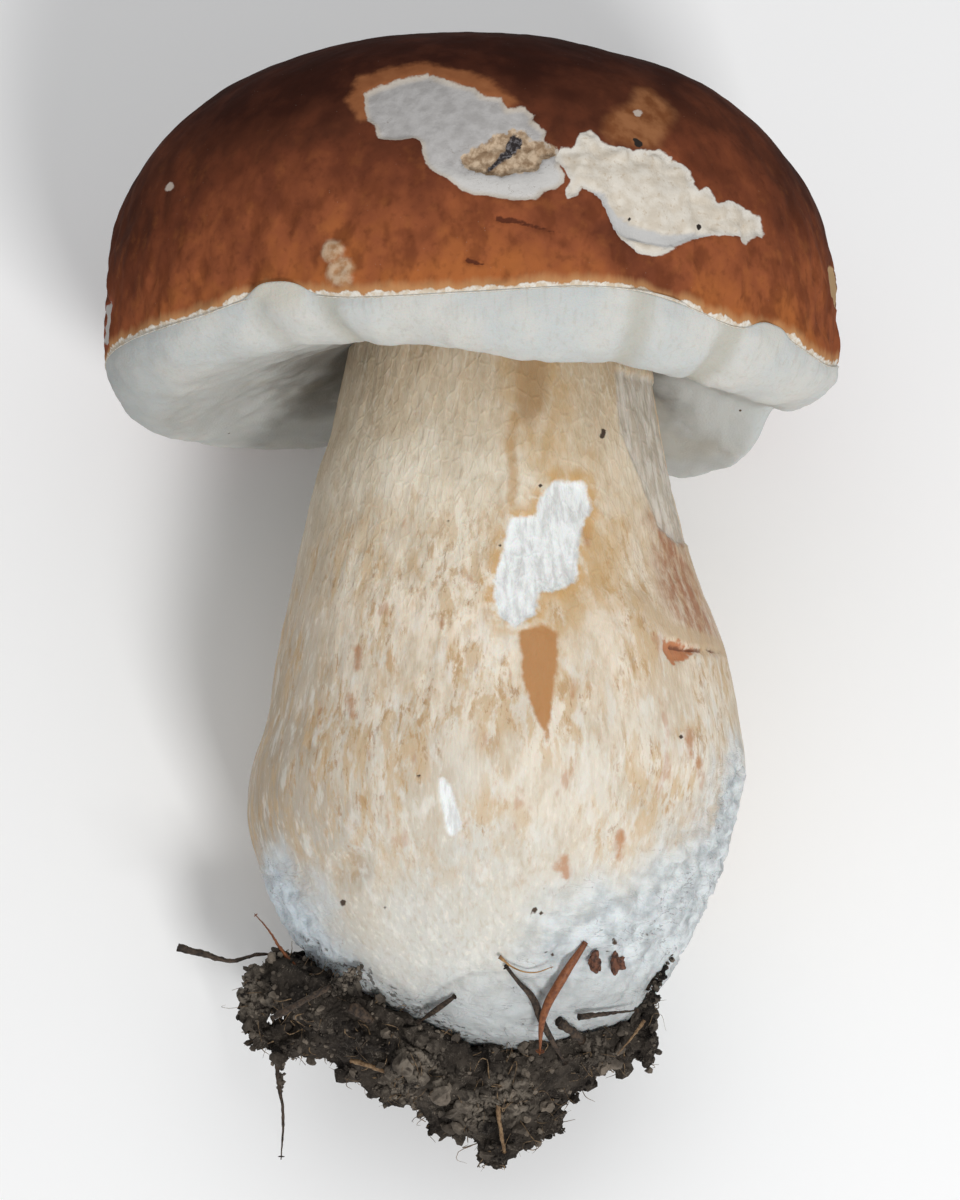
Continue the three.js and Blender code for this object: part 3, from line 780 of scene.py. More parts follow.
def torn_relief(points, marks, height):
    graze_floor = -GRAZE_DEPTH + 0.07 * rough(points, 2.2, 3, offset=3)
    graze_floor += 0.25 * edge(marks["graze_strip"], 0.4, 1.2)
    height = mix(height, height + graze_floor, edge(marks["graze"], 0.15, 0.5))
    hole_floor = -HOLE_DEPTH + 0.45 * rough(points, 1.3, 4, offset=7)
    height += hole_floor * ease((marks["hole"] + 0.1 + 0.3 * rough(points, 0.9, 2, offset=1)) / 0.6)
    ragged_rim = 1 - edge(marks["torn"], -1.2, 2.6)
    lumps = 0.8 * rough(points, 2.8, 3, offset=11) * ragged_rim + 0.25 * rough(points, 4.5, 2, offset=2)
    torn_floor = np.where(marks["torn_strip"] > 0, -STRIP_DEPTH, -TORN_DEPTH + lumps)
    return height + torn_floor * edge(marks["torn"], 0.15, 0.5)


def build_cap(material):
    grid = Grid("cap", CAP_SIDES, SEAT_ROWS + DOME_ROWS)
    points, up_skin = cap_points(grid)
    grid.marks = read_marks(points, CAP_OUTLINES, CAP_STROKES, CAP_SPOTS)
    grid.marks["up_skin"] = up_skin
    grid.marks["chips"], grid.marks["tan_chip"] = patches(points, CAP_CHIPS), patches(points, TAN_CHIP)
    height = torn_relief(points, grid.marks, skin_relief(points, grid.marks))
    return grid.finish(grid.raised(points, height), material, "cap", "cap_skin")


# %% [markdown]
# The skin is dark umber at the top and left, and warms to orange-brown at the margin. Its tone follows
# the height above the rim, shifted by broad noise so that no band shows. It is darker towards both
# flanks, partly in its own colour and partly as painted shade, and darker along the fold as painted
# shade. Finer noise lays dark blotches, painted shade in the wrinkles and warm patches over it.

# %% Cap skin colours
SKIN_SPAN = 48  # the shade, in millimetres above the rim, at which the skin is darkest
SKIN_STOPS = [
    (0.0, (0.37, 0.118, 0.037)), (0.2, (0.275, 0.082, 0.034)), (0.42, (0.155, 0.045, 0.022)),
    (0.6, (0.088, 0.028, 0.0155)), (0.8, (0.044, 0.0145, 0.0095)), (1.0, (0.031, 0.0115, 0.008)),
]
SKIN_BLOTCH = (0.05, 0.016, 0.01)
SKIN_WRINKLE_SHADE = (0.115, 0.032, 0.014)
SKIN_WARM = (0.4, 0.14, 0.042)


def skin_colour(f):
    height = f.minus(f.place("Z"), RIM_Z)
    # The flanks darken partly in the skin's own colour and partly as painted shade where they turn from
    # the light.
    left, right = f.cut(f.place("X"), -20, -56, 0, 10), f.cut(f.place("X"), 26, 54, 0, 9)
    broad = f.cut(f.noise(0.055, detail=3.0), 0.25, 0.75, -7, 7)
    mottle = f.cut(f.noise(0.2, (1, 1, 0.85), 4.0, turn=0.6), 0.3, 0.7, -4, 4)
    # The fold mark adds painted shade along the fold.
    shade = f.plus(height, left, right, broad, mottle, f.cut(f.mark("fold"), -3, 1, 0, 11))
    colour = f.ramp(f.calc("DIVIDE", shade, SKIN_SPAN), SKIN_STOPS)
    colour = f.blend(f.cut(f.noise(0.8, detail=6.0), 0.5, 0.75, 0, 0.3), colour, SKIN_BLOTCH)
    # Streaks of painted shade in the wrinkles' valleys, strongest near the margin.
    folds = f.cut(f.noise(0.3, (1, 1, 0.7), 3.0, turn=0.9), 0.46, 0.64, 0, 0.5)
    colour = f.blend(f.times(folds, f.cut(height, 32, 8)), colour, SKIN_WRINKLE_SHADE)
    warm = f.cut(f.noise(0.34, detail=5.0), 0.52, 0.72, 0, 0.22)
    return f.blend(f.times(warm, f.cut(height, 30, 14)), colour, SKIN_WARM)


# %% [markdown]
# Where the skin was rubbed it is thin and amber, and the pale flesh glows through. At the margin it
# breaks off in a ragged line. The material tears that line with noise of its own, because the step in
# the mesh is coarser than what the eye sees there.

# %% Marks in the skin
DUST = (0.5, 0.42, 0.36)
THIN_SKIN_TONES = (0.22, 0.068, 0.026), (0.42, 0.17, 0.07)
AMBER_TONES = (0.2, 0.07, 0.026), (0.36, 0.155, 0.066)
SCRATCH_TONE = (0.1, 0.03, 0.016)
MARGIN_GLOW = (0.5, 0.27, 0.12)
MARGIN_TONES = (0.6, 0.5, 0.38), (0.74, 0.71, 0.65)


def skin_marks(f, colour):
    dust = f.times(f.cut(f.cells(1.3), 0.08, 0.04), f.cut(f.noise(0.3), 0.54, 0.62, 0, 0.4))
    colour = f.blend(dust, colour, DUST)
    thin_tone = f.blend(f.noise(0.5), *THIN_SKIN_TONES)
    colour = f.blend(f.times(f.ragged("thin_skin", 1.0, 0.5, 0.7), 0.85), colour, thin_tone)
    amber_tone = f.blend(f.cut(f.noise(0.3), 0.35, 0.65), *AMBER_TONES)
    colour = f.blend(f.times(f.ragged("amber", 1.0, 0.4, 1.1), 0.85), colour, amber_tone)
    return f.blend(f.ragged("scratch", 0.3, 1.5), colour, SCRATCH_TONE)


def margin(f, colour):
    """The torn lower end of the skin: where bare flesh begins, and the colour with it laid on."""
    tear = f.times(f.minus(f.noise(0.4, (1, 1, 0.1), 6.0), 0.5), 2.8)
    below_end = f.plus(f.minus(SKIN_END + 0.1, f.mark("up_skin")), tear)
    colour = f.blend(f.cut(below_end, -1.6, 0.0, 0, 0.75), colour, MARGIN_GLOW)
    bare = f.cut(below_end, -0.12, 0.12)
    return bare, f.blend(bare, colour, f.blend(f.cut(f.noise(1.3), 0.35, 0.65), *MARGIN_TONES))


# %% [markdown]
# Under the skin the flesh is grey-white where it dried, cream where it is freshly torn, and brown in
# the hole, where a bit of dark litter lies.

# %% Cap flesh
GRAZE_TONES = (0.4, 0.385, 0.375), (0.49, 0.475, 0.465)
GRAZE_STRIP_TONE = (0.58, 0.565, 0.545)
GRAZE_HAIR = (0.2, 0.16, 0.12)
GRAZE_RIM = (0.56, 0.48, 0.38)
TORN_TONES = (0.6, 0.535, 0.445), (0.7, 0.65, 0.57)
TORN_RIM = (0.66, 0.64, 0.6)
TORN_BROWNED = (0.46, 0.36, 0.25)
TORN_STRIP_TONE = (0.52, 0.515, 0.505)
HOLE_TONES = (0.27, 0.18, 0.11), (0.58, 0.45, 0.32)
HOLE_LITTER_TONES = (0.035, 0.03, 0.03), (0.2, 0.19, 0.2)


def graze_colour(f):
    tone = f.blend(f.cut(f.noise(0.5, detail=5.0), 0.35, 0.65), *GRAZE_TONES)
    tone = f.blend(f.cut(f.mark("graze_strip"), -0.8, 0.4), tone, GRAZE_STRIP_TONE)
    hairs = f.hairs(f.noise(0.45, (1, 1, 1.7), 3.0, turn=0.5, distortion=1.0))
    hairs = f.times(f.cut(hairs, 0.009, 0.002), f.cut(f.noise(0.16), 0.48, 0.6, 0, 0.6))
    tone = f.blend(hairs, tone, GRAZE_HAIR)
    return f.blend(f.cut(f.mark("graze"), 0.9, 0.0, 0, 0.6), tone, GRAZE_RIM)


def torn_colour(f):
    tone = f.blend(f.cut(f.noise(0.55, detail=5.0), 0.35, 0.65), *TORN_TONES)
    tone = f.blend(f.cut(f.mark("torn"), 1.2, 0.1, 0, 0.6), tone, TORN_RIM)
    tone = f.blend(f.cut(f.noise(1.4, detail=4.0), 0.58, 0.7, 0, 0.5), tone, TORN_BROWNED)
    return f.blend(f.ragged("torn_strip", 0.3, 0.7, 0.3), tone, TORN_STRIP_TONE)


def flesh(f, colour, graze, torn):
    colour = f.blend(graze, colour, graze_colour(f))
    hole_tone = f.blend(f.cut(f.noise(0.9, detail=5.0), 0.35, 0.65), *HOLE_TONES)
    colour = f.blend(f.ragged("hole", 0.7, 1.0, 0.15), colour, hole_tone)
    litter_tone = f.blend(f.cut(f.noise(1.9), 0.45, 0.7), *HOLE_LITTER_TONES)
    colour = f.blend(f.ragged("hole_litter", 0.6, 1.2, 0.15), colour, litter_tone)
    return f.blend(torn, colour, torn_colour(f))


# %% [markdown]
# Last come the small things on top: dried blisters, chips down to the flesh, and dark and pale bits.
# The cap is nearly matt. The fine bump is weak on the skin and stronger on bare flesh.

# %% Cap finish
BLISTER_TONES = (0.42, 0.25, 0.13), (0.6, 0.47, 0.33)
CHIP_RIM = (0.3, 0.08, 0.04)
CHIP_TONE = (0.5, 0.48, 0.46)
TAN_CHIP_TONE = (0.42, 0.28, 0.15)
DARK_BIT = (0.03, 0.025, 0.022)


def small_marks(f, colour):
    blister_tone = f.blend(f.cut(f.noise(0.7), 0.35, 0.6), *BLISTER_TONES)
    colour = f.blend(f.times(f.ragged("blister", 0.8, 0.5, 0.5), 0.75), colour, blister_tone)
    colour = f.blend(f.cut(f.mark("chips"), -0.9, -0.2, 0, 0.6), colour, CHIP_RIM)
    colour = f.blend(f.ragged("chips", 0.5, 0.8), colour, CHIP_TONE)
    colour = f.blend(f.ragged("tan_chip", 0.5, 0.8), colour, TAN_CHIP_TONE)
    colour = f.blend(f.cut(f.mark("bits"), -0.05, 0.08), colour, DARK_BIT)
    return f.blend(f.ragged("pale_bits", 0.3, 1.5), colour, DUST)


def cap_finish():
    f = Finish("cap_skin", 0.8, Specular_IOR_Level=0.003)
    bare, colour = margin(f, skin_marks(f, skin_colour(f)))
    graze, torn = f.ragged("graze", 0.4, 0.8), f.ragged("torn", 0.35, 0.9)
    f.link("Base Color", small_marks(f, flesh(f, colour, graze, torn)))
    bare = f.either(f.either(graze, torn), bare, True)
    f.link("Roughness", f.cut(bare, 0, 1, 0.58, 0.92))
    skin_grain = f.noise(1.8, (1, 1, 0.8), 5.0)
    flesh_grain = f.times(f.noise(1.5, detail=6.0, roughness=0.6), bare)
    f.bumps((skin_grain, 0.15, 0.15), (flesh_grain, 0.4, 0.35))
    return f.material


build_cap(cap_finish())

# %% [markdown]
# The tube layer is a ring of fine tubes, pressed into pillows at the margin. From below it dips towards
# the rim's flank and rises again to the stem. We sample the same formula as the solid, let its upper
# side touch the cap, and add the soft dents that fingers and leaves leave in it. Two pillows swell up
# over the edge of the skin.

# %% Tube layer shape
TUBE_SIDES = 400
TUBE_UNDER = 96  # rows on the underside
TUBE_OVER = 6  # rows on the hidden upper side
TUBE_EDGE = 0.4  # the share of the way inwards that the rounded flank takes
PINCHED = 0.62  # the share of the way inwards that the creases take
TUBE_REACH = 0.4  # how far the layer stands out past the rim
CAP_OVERLAP = 0.3  # how far it runs into the cap, so that no gap shows
STEM_OVERLAP = 0.2
PILLOWS = [(239.5, 5, 1.7), (323, 4.5, 0.9)]  # bearing and half width in degrees, and rise


def crease_depth(angle):
    total = np.zeros_like(angle)
    for where, depth in CREASES:
        off = (np.degrees(angle) - where + 540) % 360 - 180
        total = total + depth * np.exp(-((off / CREASE_WIDTH) ** 2))
    return total


def pillow_rise(angle):
    """How far the pillows at the margin swell over the edge of the skin."""
    turned = np.degrees(angle) % 360
    return sum(rise * np.exp(-(((turned - where) / width) ** 4)) for where, width, rise in PILLOWS)


def stem_side(angle):
    return stem_surface(angle, RIM_Z + TUBE_MOAT, -STEM_OVERLAP)


def tube_surface(angle, share):
    rise = pillow_rise(angle)
    radius = rim_radius(angle) + TUBE_REACH + 0.5 * rise - around(TUBE_INSET, angle)
    rim = under_seat(joined(CAP_X + radius * np.cos(angle), radius * np.sin(angle), 0), -CAP_OVERLAP)
    inner = stem_side(angle)
    gap = np.hypot(rim[..., 0] - inner[..., 0], rim[..., 1] - inner[..., 1])
    flank = around(TUBE_FLANK, angle)
    arc = np.clip(share / TUBE_EDGE, 0, 1) * math.pi / 2
    inwards = np.clip((share - TUBE_EDGE) / (1 - TUBE_EDGE), 0, 1)
    pinch = crease_depth(angle) * np.sin(math.pi * np.clip(share / PINCHED, 0, 1))
    distance = flank * (1 - np.cos(arc)) + (gap - flank) * inwards + pinch
    lowest = RIM_Z - around(TUBE_DEPTH, angle)
    start = rim[..., 2] + rise
    z = start + (lowest - start) * np.sin(arc) + (RIM_Z + TUBE_MOAT - lowest) * inwards**1.15 + pinch
    points = mix(rim, inner, np.clip(distance / gap, 0, 1)[..., None])
    points[..., 2] = z
    return points


def build_tubes(material):
    grid = Grid("tube_layer", TUBE_SIDES, TUBE_UNDER + TUBE_OVER + 1)
    under = grid.row <= TUBE_UNDER
    share = np.clip(1 - grid.row / TUBE_UNDER, 0, 1) + 0 * grid.angle
    over = np.clip((grid.row - TUBE_UNDER) / TUBE_OVER, 0, 1)
    rim = tube_surface(grid.angle, 0 * grid.angle)
    upper = under_seat(mix(rim, stem_side(grid.angle), over[..., None]), -CAP_OVERLAP)
    points = np.where(under[..., None], tube_surface(grid.angle, share), upper)
    loose = ease(share / 0.08) * ease((1 - share) / 0.1) * under
    height = (0.6 * rough(points, 10, 3, offset=4) + 0.18 * rough(points, 3, 3)) * loose
    pillow = pillow_rise(grid.angle) * (1 - ease(share / 0.3))
    grid.marks = {"inward": share, "crease": crease_depth(grid.angle), "pillow": pillow}
    return grid.finish(grid.raised(points, height), material, "tube_layer", "tubes")


# %% [markdown]
# The mouths of the tubes are about a quarter of a millimetre wide. That is too fine to model, so cells
# raise a bump, and painted shade darkens each mouth. The colour is a cool grey-white, warmer on the
# pillows, with the lines that the tubes leave on the flank running up to the cap. Painted shade darkens
# them inwards towards the stem, at the far left and in the creases.

# %% Tube layer finish
TUBE_TONES = (0.52, 0.54, 0.53), (0.58, 0.575, 0.54)
TUBES_MIDWAY_SHADE = (0.44, 0.445, 0.425)
TUBES_INWARD_SHADE = (0.13, 0.118, 0.098)
TUBES_LEFT_SHADE = (0.3, 0.31, 0.3)
TUBE_LINE = (0.42, 0.4, 0.34)
PILLOW_TONE = (0.6, 0.55, 0.45)
PORE_SHADE = (0.36, 0.35, 0.31)
CREASE_SHADE = (0.38, 0.36, 0.29)
TUBE_BRUISE = (0.36, 0.3, 0.2)
TUBE_SPECK = (0.09, 0.06, 0.04)


def tube_finish():
    f = Finish("tubes", 0.85, Subsurface_Weight=0.1, Subsurface_Scale=0.0015, Specular_IOR_Level=0.25)
    colour = f.blend(f.cut(f.noise(0.09, detail=3.0), 0.35, 0.65), *TUBE_TONES)
    inward = f.plus(f.mark("inward"), f.cut(f.noise(0.12), 0.3, 0.7, -0.08, 0.08))
    # Painted shade darkens the tubes towards the stem, in two steps.
    colour = f.blend(f.cut(inward, 0.3, 0.55, 0, 0.9), colour, TUBES_MIDWAY_SHADE)
    colour = f.blend(f.cut(inward, 0.6, 0.95, 0, 0.92), colour, TUBES_INWARD_SHADE)
    # Painted shade on the far left of the layer, which faces away from the light.
    colour = f.blend(f.cut(f.place("X"), -40, -56, 0, 0.5), colour, TUBES_LEFT_SHADE)
    lines = f.noise(1.5, (1, 1, 0.08), 4.0)
    flank = f.cut(f.mark("inward"), 0.5, 0.25)
    colour = f.blend(f.times(f.cut(lines, 0.5, 0.7, 0, 0.3), flank), colour, TUBE_LINE)
    colour = f.blend(f.cut(f.mark("pillow"), 0.3, 1.6, 0, 0.6), colour, PILLOW_TONE)
    pores = f.cells(3.2)
    # Painted shade in the mouth of each tube.
    colour = f.blend(f.cut(pores, 0.3, 0.05, 0, 0.2), colour, PORE_SHADE)
    # Painted shade in the creases.
    colour = f.blend(f.cut(f.mark("crease"), 0.3, 1.1, 0, 0.55), colour, CREASE_SHADE)
    bruise = f.times(f.cut(f.noise(0.07, detail=3.0), 0.56, 0.7, 0, 0.25), f.cut(inward, 0.25, 0.5))
    colour = f.blend(bruise, colour, TUBE_BRUISE)
    specks = f.times(f.cut(f.cells(0.22), 0.06, 0.03), f.cut(f.noise(0.2), 0.55, 0.6))
    f.link("Base Color", f.blend(specks, colour, TUBE_SPECK))
    lumps = f.noise(0.8, detail=4.0)
    f.bumps((lumps, 0.25, 0.3), (f.times(lines, flank), 0.3, 0.15), (pores, 0.35, 0.12))
    return f.material


build_tubes(tube_finish())

# %% [markdown]
# The stem is a club with a white swollen foot. Its surface is a fine net of raised fibres that run up
# and down, so its noise is stretched along z. On the upper side are a clean white bite, an amber stain
# below it, a strip torn down from the tubes at the right, and a reddish wound with a crack. White felt
# covers the foot, and its border is an outline too.

# %% Marks on the stem
BITE = [
    (8, 79.8), (12.2, 79.8), (13.2, 76), (11.9, 73.5), (11.3, 70.5), (11, 65.3), (8.6, 63.7),
    (5.5, 63.1), (5.2, 60), (2.3, 58.2), (0.3, 59.5), (-0.5, 62.1), (-0.5, 65), (0.7, 69.4),
    (1.6, 73.8), (2.4, 74), (5.2, 74.6), (6, 77.3),
]
STAIN = [
    (2.8, 57.5), (5.8, 58.5), (8.3, 57.6), (8.1, 52.9), (7.4, 47.9), (6.7, 42), (4.8, 46.5), (3.4, 50.7),
]
TOP_STAIN = [(2.2, 99), (7, 99), (6.9, 91.5), (5.2, 87.7), (2.7, 88.5)]
WARM_PATH = [(5, 97), (6, 86), (14.6, 76), (13.6, 66), (9, 60)]
TORN_STEM = [
    (16.6, 97), (24, 98), (26, 91), (28, 83), (29, 75.5), (25.6, 72.6), (22.8, 74.6), (21, 79.4),
    (19.2, 84), (17.4, 87.4), (16.9, 92),
]
RED_ZONE = [(21.6, 75.9), (25, 76.3), (29, 66.1), (32.2, 58.2), (27, 58.1), (22.8, 65)]
CRESCENT = [(19.9, 63.8), (21.2, 61.7), (23.8, 59.4), (27, 58.6), (31.8, 58.3)]
WOUND = [(23.1, 57.5), (25.5, 57.6), (28, 56.9), (26, 54.9), (24.3, 54.1), (22.8, 56)]
CRACK = [(24.6, 56.8), (26.6, 56.6), (28.5, 56.8), (32, 57.6)]
SCRAPES = [[(-7.6, 36.6), (-7.2, 33.6), (-6.2, 30)], [(-6.8, 36), (-5.4, 30.4)]]
TAN_LINE = [(2.4, 89), (1.7, 84), (2.3, 79.6), (1.9, 76.6)]
RUST_STREAKS = [
    [(12.3, 73), (12.6, 70.4)], [(26.6, 44.6), (26.8, 41.4)], [(28, 40.4), (28.2, 38.6)],
    [(16.8, 30), (16.7, 27)], [(9, 26.4), (9.4, 23.8)], [(8.2, 25.4), (9.2, 24.4)],
    [(-19.4, 56), (-19.6, 53.4)], [(-20.6, 49), (-20.2, 46.4)],
]
STEM_SPECKS = [
    (14.9, 87.6, 0.45), (14.7, 86.8, 0.35), (6, 78.9, 0.3), (0.3, 70.1, 0.25), (-7, 73.7, 0.25),
    (-21.4, 21, 0.45), (-15.5, 20, 0.25), (5, 19.6, 0.4), (5.9, 19.2, 0.3), (4.4, 18.9, 0.2),
    (15.8, 15.9, 0.4), (15.2, 14.4, 0.2), (21, 16.8, 0.2), (6.6, 14, 0.3), (7.6, 13.4, 0.25),
    (25.4, 43.8, 0.3), (-10.8, 37.4, 0.3),
]
DIMPLE = (-20.4, 25.4, 3.4)
GROOVE = [(-12, 3.4), (-10.4, 6.4), (-8, 9), (-4, 10.8), (1, 11.2), (4.6, 10), (6.4, 8)]
SOIL_LINE = [(-27.5, 15.5), (-24, 12.4), (-17.6, 10.4), (-14.6, 7.4), (-9.4, 5.4), (-4, 2.6), (3, 0.6)]
FELT_EDGE = [
    (-34, 27.5), (-30.8, 27.5), (-27.4, 26), (-24.9, 21), (-21.1, 14.8), (-16.3, 9.5), (-11, 9.4),
    (-7, 10.4), (1, 11), (3, 17), (6.5, 20), (14.1, 22.5), (21, 25), (26.5, 31), (30, 37), (33.5, 44),
    (45, 46), (45, -30), (-45, -30), (-45, 27.5),
]
STEM_OUTLINES = {
    "bite": BITE, "stain": STAIN, "top_stain": TOP_STAIN, "torn_stem": TORN_STEM, "red_zone": RED_ZONE,
    "wound": WOUND,
}
STEM_STROKES = {  # each path with its width at the start and at the end
    "warm": [(WARM_PATH, 9, 8)], "crescent": [(CRESCENT, 1.6, 2.6)], "crack": [(CRACK, 0.7, 0.3)],
    "tan_line": [(TAN_LINE, 1.2, 1.4)], "soil_line": [(SOIL_LINE, 3.4, 1.6)],
    "groove": [(GROOVE, 0.6, 0.4)], "rust": [(path, 1.1, 0.7) for path in RUST_STREAKS],
    "scrape": [(SCRAPES[0], 1.2, 1.4), (SCRAPES[1], 0.8, 1)],
}
STEM_SPOTS = {"specks": STEM_SPECKS, "dimple": [DIMPLE]}
print(len(STEM_OUTLINES) + len(STEM_STROKES) + len(STEM_SPOTS), "kinds of mark on the stem")

# %% [markdown]
# The stem's profile needs more rows at its round foot, where it turns under, so it is walked off by
# length as the dome was. The first three rows close the foot, and the last one closes the top inside
# the cap.

# %% Stem rows
STEM_SIDES = 400
STEM_ROWS = 216
FOOT_ROWS = 3
STEM_STEPS = 3000
STEM_TOP = RIM_Z + TUBE_MOAT + 3
STEM_END = 0.4  # height of the lowest ring in the stem's table
BELOW_END = 0.02  # height of one more ring, where the foot turns under


def stem_heights():
    coarse = np.concatenate([[BELOW_END], np.linspace(STEM_END, STEM_TOP, STEM_STEPS)])
    length = walked(stem_surface(FRONT, coarse))
    return np.interp(np.linspace(0, length[-1], STEM_ROWS - FOOT_ROWS), length, coarse)


def stem_points(grid):
    heights = stem_heights()
    outwards = np.clip(grid.row / FOOT_ROWS, 0, 1) + 0 * grid.angle
    rows = heights[np.clip(grid.row - FOOT_ROWS, 0, len(heights) - 1)]
    points = mix(joined(FOOT_MIDDLE, 0, 0), stem_surface(grid.angle, rows), outwards[..., None])
    points[:, -1] = (CAP_X, 0, STEM_TOP)
    return points


print("length of the stem's profile:", round(walked(stem_surface(FRONT, stem_heights()))[-1], 1), "mm")

# %% [markdown]
# The marks are pressed into the surface here, and coloured in the finish that follows. The felt is a
# skin of its own that stands a little proud and lies in soft folds. Its border is drawn on the upper
# side, and behind it is just a height.

# %% Stem shape
FELT_BEHIND = 25  # height of the felt's border on the far side
FELT_FOLDS = 1.1  # depth of its folds
FELT_THICKNESS = 0.35
BITE_DEPTH = 0.4
TORN_STEM_DEPTH = 0.45
DIMPLE_DEPTH = 0.7
SCRAPE_DEPTH = 0.2
WOUND_DEPTH = 0.4
CRACK_DEPTH = 0.5
GROOVE_DEPTH = 0.5


def felt_distance(points):
    behind = FELT_BEHIND + 7 * rough(points, 16, 2, offset=5) - points[..., 2]
    drawn = outline_distance(points, FELT_EDGE)
    return mix(drawn, np.clip(behind, OFF, -OFF), ease((points[..., 1] + 8) / 14))


def stem_relief(points, marks):
    z = points[..., 2]
    felted, upper = edge(marks["felt"], 2, 5), ease((z - 30) / 30)
    height = 0.45 * rough(points, 17, 2, (1, 1, 0.5)) + 0.12 * rough(points, 5, 2, (1, 1, 0.35), 7)
    height += (0.09 + 0.08 * upper) * rough(points, 1.7, 3, (1, 1, 0.22), 6) * (1 - 0.7 * felted)
    folds = FELT_FOLDS * -np.abs(rough(points, 4.5, 5, (0.7, 0.7, 1.8), 8))
    felt = folds + FELT_THICKNESS + 0.16 * rough(points, 1.4, 3)
    height += felted * felt * mix(0.25, 1, ease((z - 6) / 6))
    bite = -BITE_DEPTH + 0.14 * rough(points, 1.6, 4, (1, 1, 0.2), 1)
    height += bite * edge(marks["bite"], 0.3, 1.1)
    torn = -TORN_STEM_DEPTH + 0.25 * rough(points, 1.3, 4, (1, 1, 0.25), 2)
    height += torn * edge(marks["torn_stem"], 0.2, 0.6)
    dimple, scrape = edge(marks["dimple"], 0.4, 2.6), edge(marks["scrape"], 0.1, 0.4)
    wound, crack = edge(marks["wound"], 0.2, 0.7), edge(marks["crack"], 0.3, 0.5)
    height -= DIMPLE_DEPTH * dimple + SCRAPE_DEPTH * scrape
    height -= WOUND_DEPTH * wound + CRACK_DEPTH * crack
    height -= GROOVE_DEPTH * edge(marks["groove"], 0.5, 0.9)
    return height * ease((STEM_TOP - z) / 3)


def build_stem(material):
    grid = Grid("stem", STEM_SIDES, STEM_ROWS)
    points = stem_points(grid)
    grid.marks = read_marks(points, STEM_OUTLINES, STEM_STROKES, STEM_SPOTS)
    grid.marks["felt"] = felt_distance(points)
    height = stem_relief(points, grid.marks)
    return grid.finish(grid.raised(points, height), material, "stem", "stem_flesh")


# %% [markdown]
# The stem's colour has three scales: a broad change from tan at the top to cream at the foot, blotches
# and short tan flecks that run up and down, and a fine pale net near the top. Painted shade darkens its
# left side.

# %% Stem colours
SHADE_HEIGHT = 105.0  # the height at which the broad change ends
STEM_STOPS = [
    (0.0, (0.6, 0.6, 0.57)), (0.2, (0.62, 0.6, 0.54)), (0.34, (0.7, 0.64, 0.54)),
    (0.58, (0.85, 0.75, 0.61)), (0.76, (0.84, 0.76, 0.62)), (0.86, (0.74, 0.62, 0.46)),
    (1.0, (0.52, 0.39, 0.25)),
]
STEM_FLECKS = [  # scale, where they begin in the noise, tone, strength
    (0.34, 0.47, (0.58, 0.41, 0.23), 0.7), (0.62, 0.53, (0.48, 0.3, 0.145), 0.75),
    (1.1, 0.56, (0.36, 0.2, 0.095), 0.65),
]
STEM_BLOTCH = (0.46, 0.35, 0.22)
STEM_LEFT_SHADE = (0.32, 0.24, 0.16)
STEM_RIGHT = (0.5, 0.34, 0.19)
FIBRE_GAP = (0.45, 0.33, 0.2)
FIBRE_TOP = (0.86, 0.8, 0.69)
REDDISH_FLECK = (0.45, 0.22, 0.12)
PALE_FLECK = (0.78, 0.76, 0.7)
NET_TONE = (0.8, 0.7, 0.54)


def broad_stem_colour(f):
    z, x = f.place("Z"), f.place("X")
    shade = f.plus(f.calc("DIVIDE", z, SHADE_HEIGHT), f.cut(f.noise(0.08), 0.25, 0.75, -0.07, 0.07))
    colour = f.ramp(shade, STEM_STOPS)
    blotch = f.cut(f.noise(0.15, (1, 1, 0.5), 5.0, 0.6), 0.46, 0.62)
    colour = f.blend(f.times(blotch, f.cut(z, 18, 40, 0.1, 0.42)), colour, STEM_BLOTCH)
    # Painted shade on the stem's left side.
    colour = f.blend(f.cut(x, -13, -33, 0, 0.6), colour, STEM_LEFT_SHADE)
    return f.blend(f.times(f.cut(x, 10, 24), f.cut(z, 42, 60, 0, 0.35)), colour, STEM_RIGHT)


def flecked(f, colour):
    z = f.place("Z")
    where = f.cut(f.noise(0.12, (1, 1, 0.6), 2.0), 0.36, 0.54, 0.1)
    middle = f.times(f.cut(z, 16, 36), f.cut(z, 84, 66, 0.15, 1))
    for size, low, tone, strength in STEM_FLECKS:
        short_lines = f.noise(size, (1, 1, 0.32), 8.0, 0.7, distortion=0.35)
        flecks = f.cut(short_lines, low, low + 0.1, 0, strength)
        colour = f.blend(f.times(flecks, f.times(where, middle)), colour, tone)
    reddish = f.times(f.cut(f.noise(0.28, (1, 1, 0.4), 3.0), 0.64, 0.72, 0, 0.5), middle)
    colour = f.blend(reddish, colour, REDDISH_FLECK)
    pale = f.times(f.cut(f.noise(0.45, (1, 1, 0.4), 5.0), 0.54, 0.66), f.cut(z, 70, 50))
    return f.blend(f.times(pale, 0.5), colour, PALE_FLECK)


def stem_colour(f, fibres):
    colour = broad_stem_colour(f)
    colour = f.blend(f.cut(fibres, 0.5, 0.68, 0, 0.3), colour, FIBRE_GAP)
    colour = f.blend(f.cut(fibres, 0.48, 0.3, 0, 0.45), colour, FIBRE_TOP)
    colour = flecked(f, colour)
    net = f.cut(f.cells(1.1, (1, 1, 0.5), "DISTANCE_TO_EDGE"), 0.16, 0.02, 0, 0.2)
    return f.blend(f.times(net, f.cut(f.place("Z"), 66, 86)), colour, NET_TONE)


# %% [markdown]
# The white felt of the foot is bluish in its shade at the left, greyer low on its lobe, where painted
# shade stands for the side facing down, and crossed by thin creases painted dark as shade, with a little
# grime in them.

# %% Felt colours
FELT_TONES = (0.7, 0.74, 0.75), (0.42, 0.45, 0.46)
FELT_LOW_SHADE = (0.42, 0.43, 0.42)
FELT_LEFT = (0.62, 0.69, 0.74)
FELT_CREASE_SHADE = (0.22, 0.22, 0.23)
GRIME = (0.1, 0.085, 0.075)


